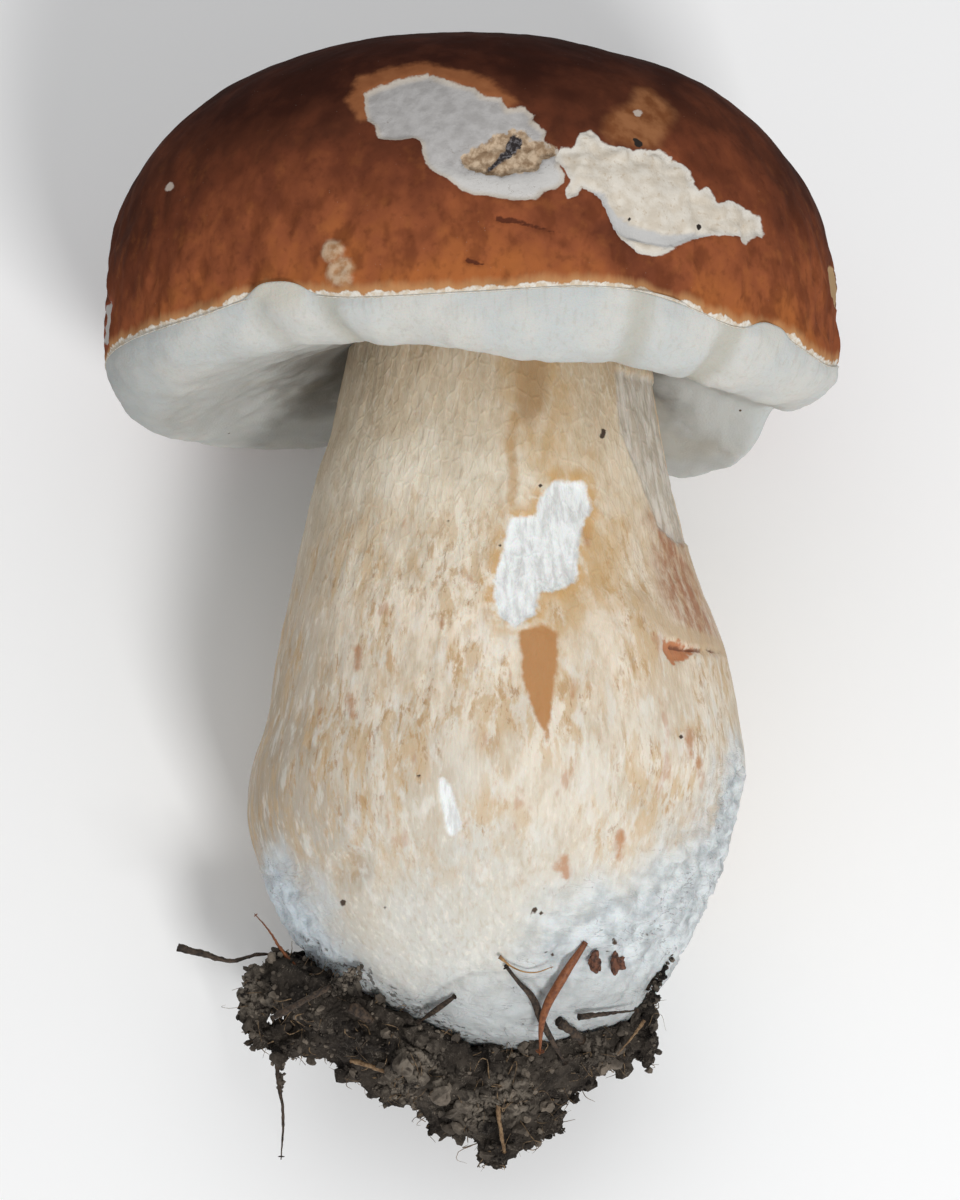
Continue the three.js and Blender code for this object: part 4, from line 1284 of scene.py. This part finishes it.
def felt_colour(f):
    tone = f.blend(f.cut(f.noise(0.35, detail=5.0), 0.35, 0.7), *FELT_TONES)
    # Painted shade low on the foot's lobe, where it faces down.
    tone = f.blend(f.cut(f.place("Z"), 15, 8, 0, 0.6), tone, FELT_LOW_SHADE)
    tone = f.blend(f.cut(f.place("X"), -12, -22, 0, 0.8), tone, FELT_LEFT)
    # Thin creases painted dark as shade.
    lines = f.hairs(f.noise(0.24, (0.8, 0.8, 2.2), 4.0, distortion=0.6))
    lines = f.times(f.cut(lines, 0.014, 0.002), f.cut(f.noise(0.14), 0.42, 0.6, 0, 0.75))
    tone = f.blend(lines, tone, FELT_CREASE_SHADE)
    grime = f.times(f.cut(f.cells(0.55), 0.12, 0.04), f.cut(f.noise(0.16), 0.55, 0.62, 0, 0.8))
    return f.blend(grime, tone, GRIME)


# %% [markdown]
# The stains are smooth and even, because what dried there filled the fibres. Most marks differ only in
# tone and in how ragged and how soft their edge is, so one table holds them.

# %% Marks in the stem's colour
WARM_TONE = (0.56, 0.36, 0.16)
RED_TONE = (0.36, 0.16, 0.08)
TORN_STEM_TONES = (0.48, 0.42, 0.34), (0.66, 0.61, 0.54)
STEM_PAINT = [  # mark, raggedness and softness of its edge in millimetres, tone, strength
    ("top_stain", 0.8, 1.1, (0.42, 0.26, 0.13), 0.75), ("tan_line", 0.8, 0.6, (0.5, 0.3, 0.13), 0.7),
    ("stain", 0.6, 0.35, (0.46, 0.22, 0.078), 0.95), ("crescent", 0.8, 0.5, (0.56, 0.42, 0.27), 0.75),
    ("rust", 0.9, 0.5, (0.44, 0.2, 0.085), 0.75), ("wound", 1.3, 0.3, (0.48, 0.17, 0.06), 0.9),
    ("crack", 0.3, 0.15, (0.2, 0.075, 0.04), 0.85),
]
BITE_RIM = (0.6, 0.36, 0.14)
BITE_TONES = (0.66, 0.665, 0.65), (0.88, 0.9, 0.89)
DIMPLE_TONE = (0.4, 0.27, 0.15)
GROOVE_SHADE = (0.36, 0.35, 0.33)
DIRT_AND_CREVICE_SHADE = (0.06, 0.05, 0.04)
STEM_SPECK = (0.07, 0.045, 0.03)


def stains(f, colour):
    path = f.cut(f.noise(0.35, (1, 1, 0.4), 4.0), 0.38, 0.6, 0.2, 0.7)
    colour = f.blend(f.times(f.ragged("warm", 4.0, 0.22, 3.0), path), colour, WARM_TONE)
    streaks = f.cut(f.noise(0.6, (1, 1, 0.35), 6.0, 0.65), 0.36, 0.6, 0.3, 0.95)
    colour = f.blend(f.times(f.ragged("red_zone", 2.4, 0.35, 2.0), streaks), colour, RED_TONE)
    torn_tone = f.blend(f.cut(f.noise(0.9, (1, 1, 0.2), 5.0), 0.4, 0.6), *TORN_STEM_TONES)
    colour = f.blend(f.times(f.ragged("torn_stem", 0.7, 0.4, 0.5), 0.85), colour, torn_tone)
    for label, amount, softness, tone, strength in STEM_PAINT:
        colour = f.blend(f.times(f.ragged(label, amount, 0.7, softness), strength), colour, tone)
    return colour


def bites_dirt_and_shade(f, colour):
    rim = f.times(f.cut(f.mark("bite"), -2.8, -0.2), f.cut(f.noise(0.4, detail=5.0), 0.38, 0.58, 0, 0.8))
    colour = f.blend(rim, colour, BITE_RIM)
    bite_tone = f.blend(f.cut(f.noise(1.1, (1, 1, 0.16), 6.0, 0.65), 0.34, 0.6), *BITE_TONES)
    bitten = f.either(f.ragged("bite", 0.55, 1.1, 0.35), f.ragged("scrape", 0.3, 1.2, 0.3))
    colour = f.blend(bitten, colour, bite_tone)
    dimple = f.times(f.cut(f.mark("dimple"), -0.8, 2.5), f.cut(f.noise(0.5), 0.42, 0.6, 0, 0.6))
    colour = f.blend(dimple, colour, DIMPLE_TONE)
    # Painted shade in the groove at the foot.
    colour = f.blend(f.times(f.ragged("groove", 0.4, 0.5, 0.3), 0.5), colour, GROOVE_SHADE)
    # Soil dirt and painted shade in the crevice where the foot meets the soil.
    dirt_and_shade = f.times(f.ragged("soil_line", 1.6, 0.5, 0.3), f.cut(f.noise(1.1), 0.52, 0.6, 0, 0.8))
    colour = f.blend(dirt_and_shade, colour, DIRT_AND_CREVICE_SHADE)
    return f.blend(f.ragged("specks", 0.15, 1.6, 0.1), colour, STEM_SPECK)


# %% [markdown]
# The bump follows the same fibres as the colour, with the ridges of the net near the top. It fades out
# in the stain and under the felt, where fine crinkles take over.

# %% Stem finish
def stem_bumps(f, fibres):
    net = f.cells(0.8, (1, 1, 0.42), "DISTANCE_TO_EDGE")
    ridges = f.times(f.cut(net, 0.14, 0.0), f.cut(f.place("Z"), 40, 80, 0.2, 1))
    smooth = f.either(f.cut(f.mark("stain"), -0.3, 0.2), f.cut(f.mark("felt"), -1, 2))
    grain = f.times(fibres, f.minus(1.0, smooth))
    crinkle = f.hairs(f.noise(0.5, (0.8, 0.8, 1.8), 7.0, distortion=0.5))
    crinkle = f.times(crinkle, f.cut(f.mark("felt"), -3, 3))
    f.bumps((grain, 0.5, 0.25), (ridges, 0.3, 0.15), (crinkle, 0.6, 1.2))


def stem_finish():
    f = Finish("stem_flesh", 0.75, Subsurface_Weight=0.1, Subsurface_Scale=0.0015, Specular_IOR_Level=0.3)
    fibres = f.noise(1.4, (1, 1, 0.2), 5.0, 0.62, distortion=0.3)
    colour = f.blend(f.ragged("felt", 6.0, 0.16, 4.5), stem_colour(f, fibres), felt_colour(f))
    f.link("Base Color", bites_dirt_and_shade(f, stains(f, colour)))
    stem_bumps(f, fibres)
    return f.material


build_stem(stem_finish())

# %% [markdown]
# The soil and the litter are made from other meshes, so they need three small tools: one reads the
# places of a mesh's points, one stores a value on each of them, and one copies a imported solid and
# remeshes it evenly, because its own triangles are long and few.

# %% Reading, storing and remeshing
WELD_DISTANCE = 1e-6


def positions(mesh, key="co"):
    values = np.empty(len(mesh.vertices) * 3)
    mesh.vertices.foreach_get(key, values)
    return values.reshape(-1, 3)


def keep_values(mesh, label, kind, key, values):
    mesh.attributes.new(label, kind, "POINT").data.foreach_set(key, np.ravel(values))


def applied(made):
    """The mesh that an object's modifiers or curve settings make, with the object taken away."""
    bpy.context.scene.collection.objects.link(made)
    mesh = bpy.data.meshes.new_from_object(made.evaluated_get(bpy.context.evaluated_depsgraph_get()))
    bpy.data.objects.remove(made)
    return mesh


def remeshed_copy(node, voxel):
    bm = bmesh.new()
    bm.from_mesh(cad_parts[node].data)
    bmesh.ops.remove_doubles(bm, verts=bm.verts, dist=WELD_DISTANCE)
    mesh = bpy.data.meshes.new(node + "_core")
    bm.to_mesh(mesh)
    bm.free()
    core = bpy.data.objects.new(node + "_core", mesh)
    remesh = core.modifiers.new("even", "REMESH")
    remesh.mode = "VOXEL"
    remesh.voxel_size = voxel
    return applied(core)


print("the packed soil has", len(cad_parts["soil"].data.polygons), "faces")

# %% [markdown]
# The soil is a clod of crumbs held by fine roots. The remeshed clod is pushed in and out by noise, so
# that it fills the space the solid has, and is kept off the stem. Where it rests on the floor it stays
# as it is.

# %% The clod
SOIL_VOXEL = 0.55 * MM
SOIL_SINK = 0.5  # millimetres that the clod is drawn in, to leave room for the crumbs
RESTING = 1.2 * MM


def off_stem(place):
    """How far points are outside the stem, in millimetres."""
    x, y, z = standing_back(place).T
    left, right = up_the(STEM_EDGES, 1, z), up_the(STEM_EDGES, 2, z)
    away = np.hypot(x - (left + right) / 2, y / STEM_FLATNESS) - (right - left) / 2
    return np.where(z < STEM_END, STEM_END - z + np.maximum(away, 0), away)


def soil_core():
    mesh = remeshed_copy("soil", SOIL_VOXEL)
    place, normal = positions(mesh), positions(mesh, "normal")
    height = 0.7 * rough(place / MM, 3.4, 4) + 0.4 * rough(place / MM, 1.1, 3, offset=4) - SOIL_SINK
    height = np.minimum(height, 0.5 * off_stem(place) - 0.1)
    height = np.where(place[:, 2] < RESTING, 0, height)
    place = np.clip(place + normal * height[:, None] * MM, *cad_box)
    mesh.vertices.foreach_set("co", place.ravel())
    print("the clod has", len(place), "points")
    return mesh, place, normal


# %% [markdown]
# Crumbs are sunk into the clod's surface: a few hundred large ones of eighty faces, and thousands of
# twenty faces each that make it look like earth. Each is a ball that noise makes knobbly, stretched and
# turned at random, and it keeps a shade of its own in an attribute. All random numbers come from one
# seeded generator, so the soil is the same on every run.

# %% Crumbs
LARGE_CRUMBS = (380, 2, 0.6, 1.9)  # how many, fineness, least and largest radius in millimetres
SMALL_CRUMBS = (3600, 1, 0.2, 0.7)
SMALL_BIAS = 2.4  # more than 1 makes small crumbs commoner
KNOBS = 0.6
STRETCH = (0.45, 1.0)
SINK = (-0.3, 0.8)  # from nearly buried to nearly loose, in radii
draws = np.random.default_rng(7)


def ball_mesh(fineness):
    ball = bpy.data.meshes.new("crumb")
    bm = bmesh.new()
    bmesh.ops.create_icosphere(bm, subdivisions=fineness, radius=1)
    bm.to_mesh(ball)
    bm.free()
    return ball, positions(ball)


def fits(middles, sizes):
    """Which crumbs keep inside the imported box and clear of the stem."""
    low, high = np.array(cad_box)
    room = (middles > low + sizes[:, None]) & (middles < high - sizes[:, None])
    return room.all(axis=1) & (off_stem(middles) > 0.8 * sizes / MM)


def add_crumb(bm, ball, round_place, middle, size):
    knobbly = round_place * (1 + KNOBS * rough(round_place, 0.7, 2, offset=draws.uniform(0, 99)))[:, None]
    ball.vertices.foreach_set("co", knobbly.ravel())
    stretch = Matrix.Diagonal((*(size * draws.uniform(*STRETCH, 3)), 1))
    turn = Matrix.Rotation(draws.uniform(0, math.tau), 4, Vector(draws.normal(size=3)).normalized())
    ball.transform(Matrix.Translation(middle) @ turn @ stretch)
    bm.from_mesh(ball)


def add_crumbs(bm, kind, place, normal, chances):
    """Sinks crumbs into the surface, and gives each corner of them the crumb's own shade."""
    count, fineness, small, large = kind
    ball, round_place = ball_mesh(fineness)
    chosen = draws.choice(len(place), count, p=chances / chances.sum())
    sizes = (small + (large - small) * draws.random(count) ** SMALL_BIAS) * MM
    middles = place[chosen] + normal[chosen] * (sizes * draws.uniform(*SINK, count))[:, None]
    kept = fits(middles, sizes)
    for middle, size in zip(middles[kept], sizes[kept]):
        add_crumb(bm, ball, round_place, Vector(middle), size)
    print(kept.sum(), "crumbs of", len(ball.polygons), "faces")
    return np.repeat(draws.random(kept.sum()), len(round_place))


# %% [markdown]
# Some crumbs cling outside the clod: along the hanging root and up the foot. They are strewn about
# short paths, wide at one end and narrow at the other. On the clod, crumbs gather in dry pale tufts.
# Flat faces suit the soil, as crumbs have corners.

# %% Soil shape
STREWN_CRUMBS = (420, 1, 0.25, 0.65)
STREWN = [  # from and to, and the spread there, in millimetres
    ((-31.2, 0.6, 3.4), (-31, 1.6, -4.5), 0.7, 0.15), ((21.5, -9.8, 8), (24.4, -8.6, 14.4), 0.35, 0.25),
    ((-23, -13.8, 9.4), (-19.4, -16.2, 12), 0.5, 0.45),
]
STREWN_EACH = 110
TUFTS = [
    (-11, -0.7, 3), (1.9, -5.3, 3.6), (-3.5, -7.5, 2.6), (-20.3, 11.6, 2.2), (-14, -4.5, 2),
    (-34.8, 9.3, 3), (14, 1.5, 1.6), (-8, -3.6, 1.6),
]
TUFT_CROWDING = 2.5
CORE_SHADE = 0.32


def strewn_places():
    share = np.linspace(0, 1, STREWN_EACH)[:, None]
    paths = [
        np.array(start) * (1 - share) + np.array(end) * share
        + draws.normal(size=(STREWN_EACH, 3)) * (wide * (1 - share) + narrow * share)
        for start, end, wide, narrow in STREWN
    ]
    return lay(np.concatenate(paths))


def build_soil(material):
    mesh, place, normal = soil_core()
    bm = bmesh.new()
    bm.from_mesh(mesh)
    tufty = spots(standing_back(place), TUFTS) > -0.5
    free = (off_stem(place) > 0.4) & (place[:, 2] > 2 * MM)
    chances = np.where(free, 1.0, 0) * np.where(tufty, TUFT_CROWDING, 1)
    shades = [np.full(len(place), CORE_SHADE)]
    strewn = strewn_places()
    for kind in (LARGE_CRUMBS, SMALL_CRUMBS):
        shades.append(add_crumbs(bm, kind, place, normal, chances))
    shades.append(add_crumbs(bm, STREWN_CRUMBS, strewn, 0 * strewn, np.ones(len(strewn))))
    bm.to_mesh(mesh)
    bm.free()
    grown = standing_back(positions(mesh))
    keep_values(mesh, "grown", "FLOAT_VECTOR", "vector", grown)
    keep_values(mesh, "shade", "FLOAT", "value", np.concatenate(shades))
    keep_values(mesh, "tuft", "FLOAT", "value", spots(grown, TUFTS))
    return piece(mesh, material, "soil", smooth=False)


# %% [markdown]
# Damp forest soil is a dark grey-brown. Each crumb's shade moves it along a ramp, the dry tufts are
# paler, and thin pale threads run through it. Two bumps, one coarse and one fine, take the last
# smoothness off the faces.

# %% Soil finish
SOIL_TONES = [
    (0.0, (0.012, 0.01, 0.009)), (0.4, (0.045, 0.037, 0.03)), (0.8, (0.1, 0.083, 0.067)),
    (1.0, (0.2, 0.165, 0.13)),
]
TUFT_TONE = (0.24, 0.205, 0.165)
SOIL_GRIT = (0.12, 0.1, 0.082)
SOIL_THREAD = (0.3, 0.26, 0.21)


def soil_finish():
    f = Finish("soil", 0.95, Specular_IOR_Level=0.1)
    colour = f.ramp(f.plus(f.mark("shade"), f.cut(f.noise(0.25), 0.3, 0.7, -0.25, 0.25)), SOIL_TONES)
    tuft = f.times(f.cut(f.mark("tuft"), -1.5, 2), f.cut(f.noise(0.9, detail=5.0), 0.4, 0.6, 0, 0.8))
    colour = f.blend(tuft, colour, TUFT_TONE)
    colour = f.blend(f.cut(f.noise(3.2, detail=6.0, roughness=0.7), 0.52, 0.7, 0, 0.6), colour, SOIL_GRIT)
    threads = f.hairs(f.noise(0.7, detail=3.0, distortion=1.5))
    threads = f.times(f.cut(threads, 0.012, 0.003), f.cut(f.noise(0.3), 0.48, 0.6, 0, 0.5))
    f.link("Base Color", f.blend(threads, colour, SOIL_THREAD))
    f.bumps((f.noise(1.1, detail=5.0), 0.5, 0.6), (f.noise(4.0, detail=6.0, roughness=0.7), 0.7, 0.25))
    return f.material


build_soil(soil_finish())

# %% [markdown]
# Needles, twigs and rootlets cling to the foot. Each is a round strand along a smooth path. The paths
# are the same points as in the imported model, so each piece replaces its solid where it lies. The
# plumpness of a kind, from its start to its end, tells a needle, which ends in a point, from a twig,
# which is broken off.

# %% What litter there is
PLUMPNESS = {
    "needle": (0.55, 0.85, 1, 1, 0.85, 0.5, 0.12), "root": (0.9, 0.8, 0.65, 0.5, 0.4, 0.3, 0.15),
    "twig": (0.75, 1, 0.9, 0.8, 0.85, 0.75, 0.6), "hair": (0.9, 0.45, 0.35, 0.3, 0.3, 0.25, 0.15),
    "blade": (0.45, 0.45, 0.6, 0.9, 1, 0.8, 0.15),
}
LITTER = {
    "needle_red": [
        "needle", 0.66, [12.1, -23.9, 15.4], [8.8, -23, 10.4], [6.4, -20.8, 5.8], [5.8, -17.2, 0.2],
    ],
    "needle_dark": [
        "blade", 0.56, [1, -24.6, 12.2], [2.8, -23.4, 10], [4.7, -21.3, 8], [6.2, -18.2, 4.6],
        [9.6, -13.6, -1.2],
    ],
    "hair_root": [
        "hair", 0.34, [0.2, -25.8, 13.3], [2.2, -25.2, 11.8], [4.8, -24.7, 11.2], [7.6, -24.6, 12],
    ],
    "bark_chip": ["twig", 0.75, [8.4, -16.4, 4.9], [10.2, -14.9, 3.6], [12, -12.6, 2.2]],
    "needle_side": ["needle", 0.42, [-5.9, -19.8, 8.2], [-8.6, -16.6, 6.4], [-11.2, -12.6, 4.8]],
    "twig_foot": ["root", 0.5, [11.2, -17.2, 5.4], [15.4, -14.8, 6], [19.8, -11.2, 6.6]],
    "twig_left": [
        "root", 0.62, [-45.6, -2.6, 15.9], [-41.6, -2.2, 14.9], [-38.2, -1.8, 14], [-34, -1, 15],
        [-29.6, 1, 14.6],
    ],
    "rootlet_left": [
        "root", 0.34, [-28.4, -4, 12.6], [-30.8, -4.8, 15.6], [-32.4, -4.6, 18], [-34.6, -4, 20.6],
    ],
    "twig_cross": ["twig", 0.5, [-31.6, -12.4, 5.4], [-27.2, -15.6, 7.6], [-23.2, -17.2, 9.6]],
    "bark_left": ["twig", 0.9, [-20.6, -14.8, 7], [-19, -15.4, 6], [-17.4, -15.2, 4.8]],
    "straw_left": ["twig", 0.4, [-20.6, -10.8, -0.4], [-18.4, -11.6, -1], [-15.6, -11.8, -2]],
    "straw_tip": ["twig", 0.34, [0, -8.8, -6.4], [0.4, -7.2, -9.6], [1, -5, -13.2]],
    "root_hanging": [
        "root", 0.52, [-31.2, 0.4, 3], [-31.4, 0.6, -1.4], [-30.6, 1.4, -7.6], [-30.9, 2.8, -14.1],
    ],
    "twig_right": ["twig", 0.6, [22.4, -9.2, 13.8], [22, -9, 12], [21, -8.4, 9.6]],
    "root_right": ["root", 0.32, [20.6, -10, 5.2], [19, -10.6, 3], [16.8, -10, 0.4]],
}
ROUGHNESS = {"needle": 0.04, "blade": 0.06, "root": 0.5, "twig": 0.35, "hair": 0.2}
print(len(LITTER), "strands of", len(PLUMPNESS), "kinds")

# %% [markdown]
# A strand is a curve with a round section. Once it is a mesh, each ring is drawn in to the kind's
# plumpness at its place along the path, and noise roughens the bark.

# %% Litter shape
STRAND_FINENESS = 3
STRAND_STEPS = 14
PATH_STEPS = 240


def round_curve(name, fineness, steps):
    curve = bpy.data.curves.new(name, "CURVE")
    curve.dimensions = "3D"
    curve.bevel_depth = 1
    curve.bevel_resolution = fineness
    curve.resolution_u = steps
    curve.use_fill_caps = True
    return curve


def add_path(curve, places, radii):
    spline = curve.splines.new("BEZIER")
    spline.bezier_points.add(len(places) - 1)
    for point, place, radius in zip(spline.bezier_points, places, radii):
        point.co = place
        point.handle_left_type = point.handle_right_type = "AUTO"
        point.radius = radius


def keep_litter_values(mesh, grown, share):
    """The finish reads the standing place, and how far along its strand a point is."""
    keep_values(mesh, "grown", "FLOAT_VECTOR", "vector", grown)
    keep_values(mesh, "share", "FLOAT", "value", share)


def strand(name, kind, radius, places):
    standing = np.array(places, float)
    curve = round_curve(name, STRAND_FINENESS, STRAND_STEPS)
    add_path(curve, lay(standing), [radius * MM] * len(standing))
    return shaped(applied(bpy.data.objects.new(name, curve)), kind, radius, standing)


def shaped(mesh, kind, radius, standing):
    grown = standing_back(positions(mesh))
    fine = np.linspace(0, len(standing) - 1, PATH_STEPS)
    path = np.stack([np.interp(fine, range(len(standing)), measure) for measure in standing.T], axis=-1)
    nearest = np.argmin(np.linalg.norm(grown[:, None] - path[None], axis=-1), axis=1)
    share = nearest / (len(fine) - 1)
    plump = np.interp(share, np.linspace(0, 1, len(PLUMPNESS[kind])), PLUMPNESS[kind])
    bark = ROUGHNESS[kind] * rough(grown / radius, 1.6, 3)
    inward = positions(mesh, "normal") * ((plump * (1 + bark) - 1) * radius * MM)[:, None]
    mesh.vertices.foreach_set("co", np.clip(positions(mesh) + inward, *cad_box).ravel())
    keep_litter_values(mesh, grown, share)
    return mesh


# %% [markdown]
# Four litter finishes differ only in their two tones: nearly black, red-brown, straw and golden. Grain
# in the noise stands for bark, and the first end of each strand is dark, where it was in the earth.

# %% Litter
def litter_finish(name, dark, light, roughness=0.7):
    f = Finish(name, roughness, Specular_IOR_Level=0.3)
    grain = f.noise(1.6, detail=5.0, roughness=0.65)
    colour = f.blend(f.cut(grain, 0.35, 0.65), dark, light)
    f.link("Base Color", f.blend(f.cut(f.mark("share"), 0.12, 0, 0, 0.6), colour, dark))
    f.bumps((grain, 0.5, 0.15))
    return f.material


dark_litter = litter_finish("dark_litter", (0.014, 0.01, 0.008), (0.075, 0.05, 0.033))
brown_litter = litter_finish("brown_litter", (0.13, 0.04, 0.016), (0.24, 0.085, 0.032), 0.5)
straw_litter = litter_finish("straw_litter", (0.1, 0.055, 0.025), (0.25, 0.16, 0.085))
hair_litter = litter_finish("hair_litter", (0.2, 0.1, 0.04), (0.4, 0.24, 0.1))
LITTER_FINISHES = {
    "needle_red": (brown_litter, "brown_litter"), "rootlet_left": (brown_litter, "brown_litter"),
    "bark_left": (dark_litter, "brown_litter"), "hair_root": (hair_litter, "straw_litter"),
    "straw_left": (straw_litter, "straw_litter"), "straw_tip": (straw_litter, "straw_litter"),
    "root_right": (straw_litter, "straw_litter"),
}
for name, (kind, radius, *places) in LITTER.items():
    finish, slot = LITTER_FINISHES.get(name, (dark_litter, "dark_litter"))
    piece(strand(name, kind, radius, places), finish, name)

# %% [markdown]
# A bud scale is a small leathery cup. A ball is squashed flat, its outline is made angular by noise, and
# its rim is bent away from the stem like a dry flake. It is turned to face outwards where it sticks.

# %% Bud scales
BUD_SCALES = {"bud_scale_left": (13.2, -21.9, 12.8, 1.15), "bud_scale_right": (16.3, -19.7, 12.8, 1.35)}
SCALE_FINENESS = 4
SCALE_PROPORTIONS = (0.95, 0.34, 1.1)
SCALE_ANGULAR = 0.55
SCALE_BEND = 0.4
FIRST_SEED = 2
WHOLE = 0.5  # stands for the middle of a strand, on pieces that aren't one


def bud_scale(x, y, z, size, seed):
    mesh, ball = ball_mesh(SCALE_FINENESS)
    outline = 1 + SCALE_ANGULAR * rough(ball * (1, 0, 1), 0.9, 3, offset=seed)
    flat = ball * outline[:, None] * SCALE_PROPORTIONS
    bend = SCALE_BEND * (flat[:, 0] ** 2 + 0.5 * flat[:, 2] ** 2)
    flat[:, 1] -= bend - 0.1 * rough(ball, 0.5, 3, offset=seed)
    facing = math.atan2(x, -y)
    c, s = math.cos(facing), math.sin(facing)
    x_turned, y_turned = flat[:, 0] * c - flat[:, 1] * s, flat[:, 0] * s + flat[:, 1] * c
    turned = np.stack([x_turned, y_turned, flat[:, 2]], axis=-1)
    grown = turned * size + (x, y, z)
    mesh.vertices.foreach_set("co", lay(grown).ravel())
    keep_litter_values(mesh, grown, np.full(len(grown), WHOLE))
    return mesh


scale_finish = litter_finish("bud_scales", (0.03, 0.012, 0.008), (0.17, 0.07, 0.04), 0.6)
for seed, (name, place_and_size) in enumerate(BUD_SCALES.items(), FIRST_SEED):
    piece(bud_scale(*place_and_size, seed), scale_finish, name)

# %% [markdown]
# Hair-fine rootlets stand out of the soil all over, the thin fuzz at its edge. They are single curves of
# a few points each, four-sided, as they are thinner than a pencil line. They have no solid of their own.

# %% Fine roots
FINE_ROOTS = 420
FINE_ROOT_LENGTH = (0.7, 3.6)
FINE_ROOT_RADIUS = (0.035, 0.11)
FINE_ROOT_PLUMPNESS = np.array([1, 0.8, 0.3])
ROOTED = 0.3  # the share of its length that is in the soil
ROOT_VOXEL = 1.2 * MM
ROOT_STEPS = 4


def add_fine_root(curve, place, normal):
    length, radius = draws.uniform(*FINE_ROOT_LENGTH) * MM, draws.uniform(*FINE_ROOT_RADIUS) * MM
    way, bend = normal + 0.9 * draws.normal(size=3), 0.35 * length * draws.normal(size=3)
    way *= length / np.linalg.norm(way)
    start = place - ROOTED * way
    path = np.clip([start, start + 0.5 * way + bend, start + way], *cad_box)
    add_path(curve, path, radius * FINE_ROOT_PLUMPNESS)


def fine_roots(material):
    core = remeshed_copy("soil", ROOT_VOXEL)
    place, normal = positions(core), positions(core, "normal")
    outside = np.flatnonzero((off_stem(place) > 1.0) & (place[:, 2] > 3 * MM))
    curve = round_curve("soil_roots", 0, ROOT_STEPS)
    for k in draws.choice(outside, FINE_ROOTS):
        add_fine_root(curve, place[k], normal[k])
    mesh = applied(bpy.data.objects.new("soil_roots_path", curve))
    mesh.vertices.foreach_set("co", np.clip(positions(mesh), *cad_box).ravel())
    keep_litter_values(mesh, standing_back(positions(mesh)), np.full(len(mesh.vertices), WHOLE))
    return hand_over("fine_soil_roots", mesh, material)


fine_roots(litter_finish("fine_roots", (0.05, 0.035, 0.025), (0.26, 0.17, 0.09)))
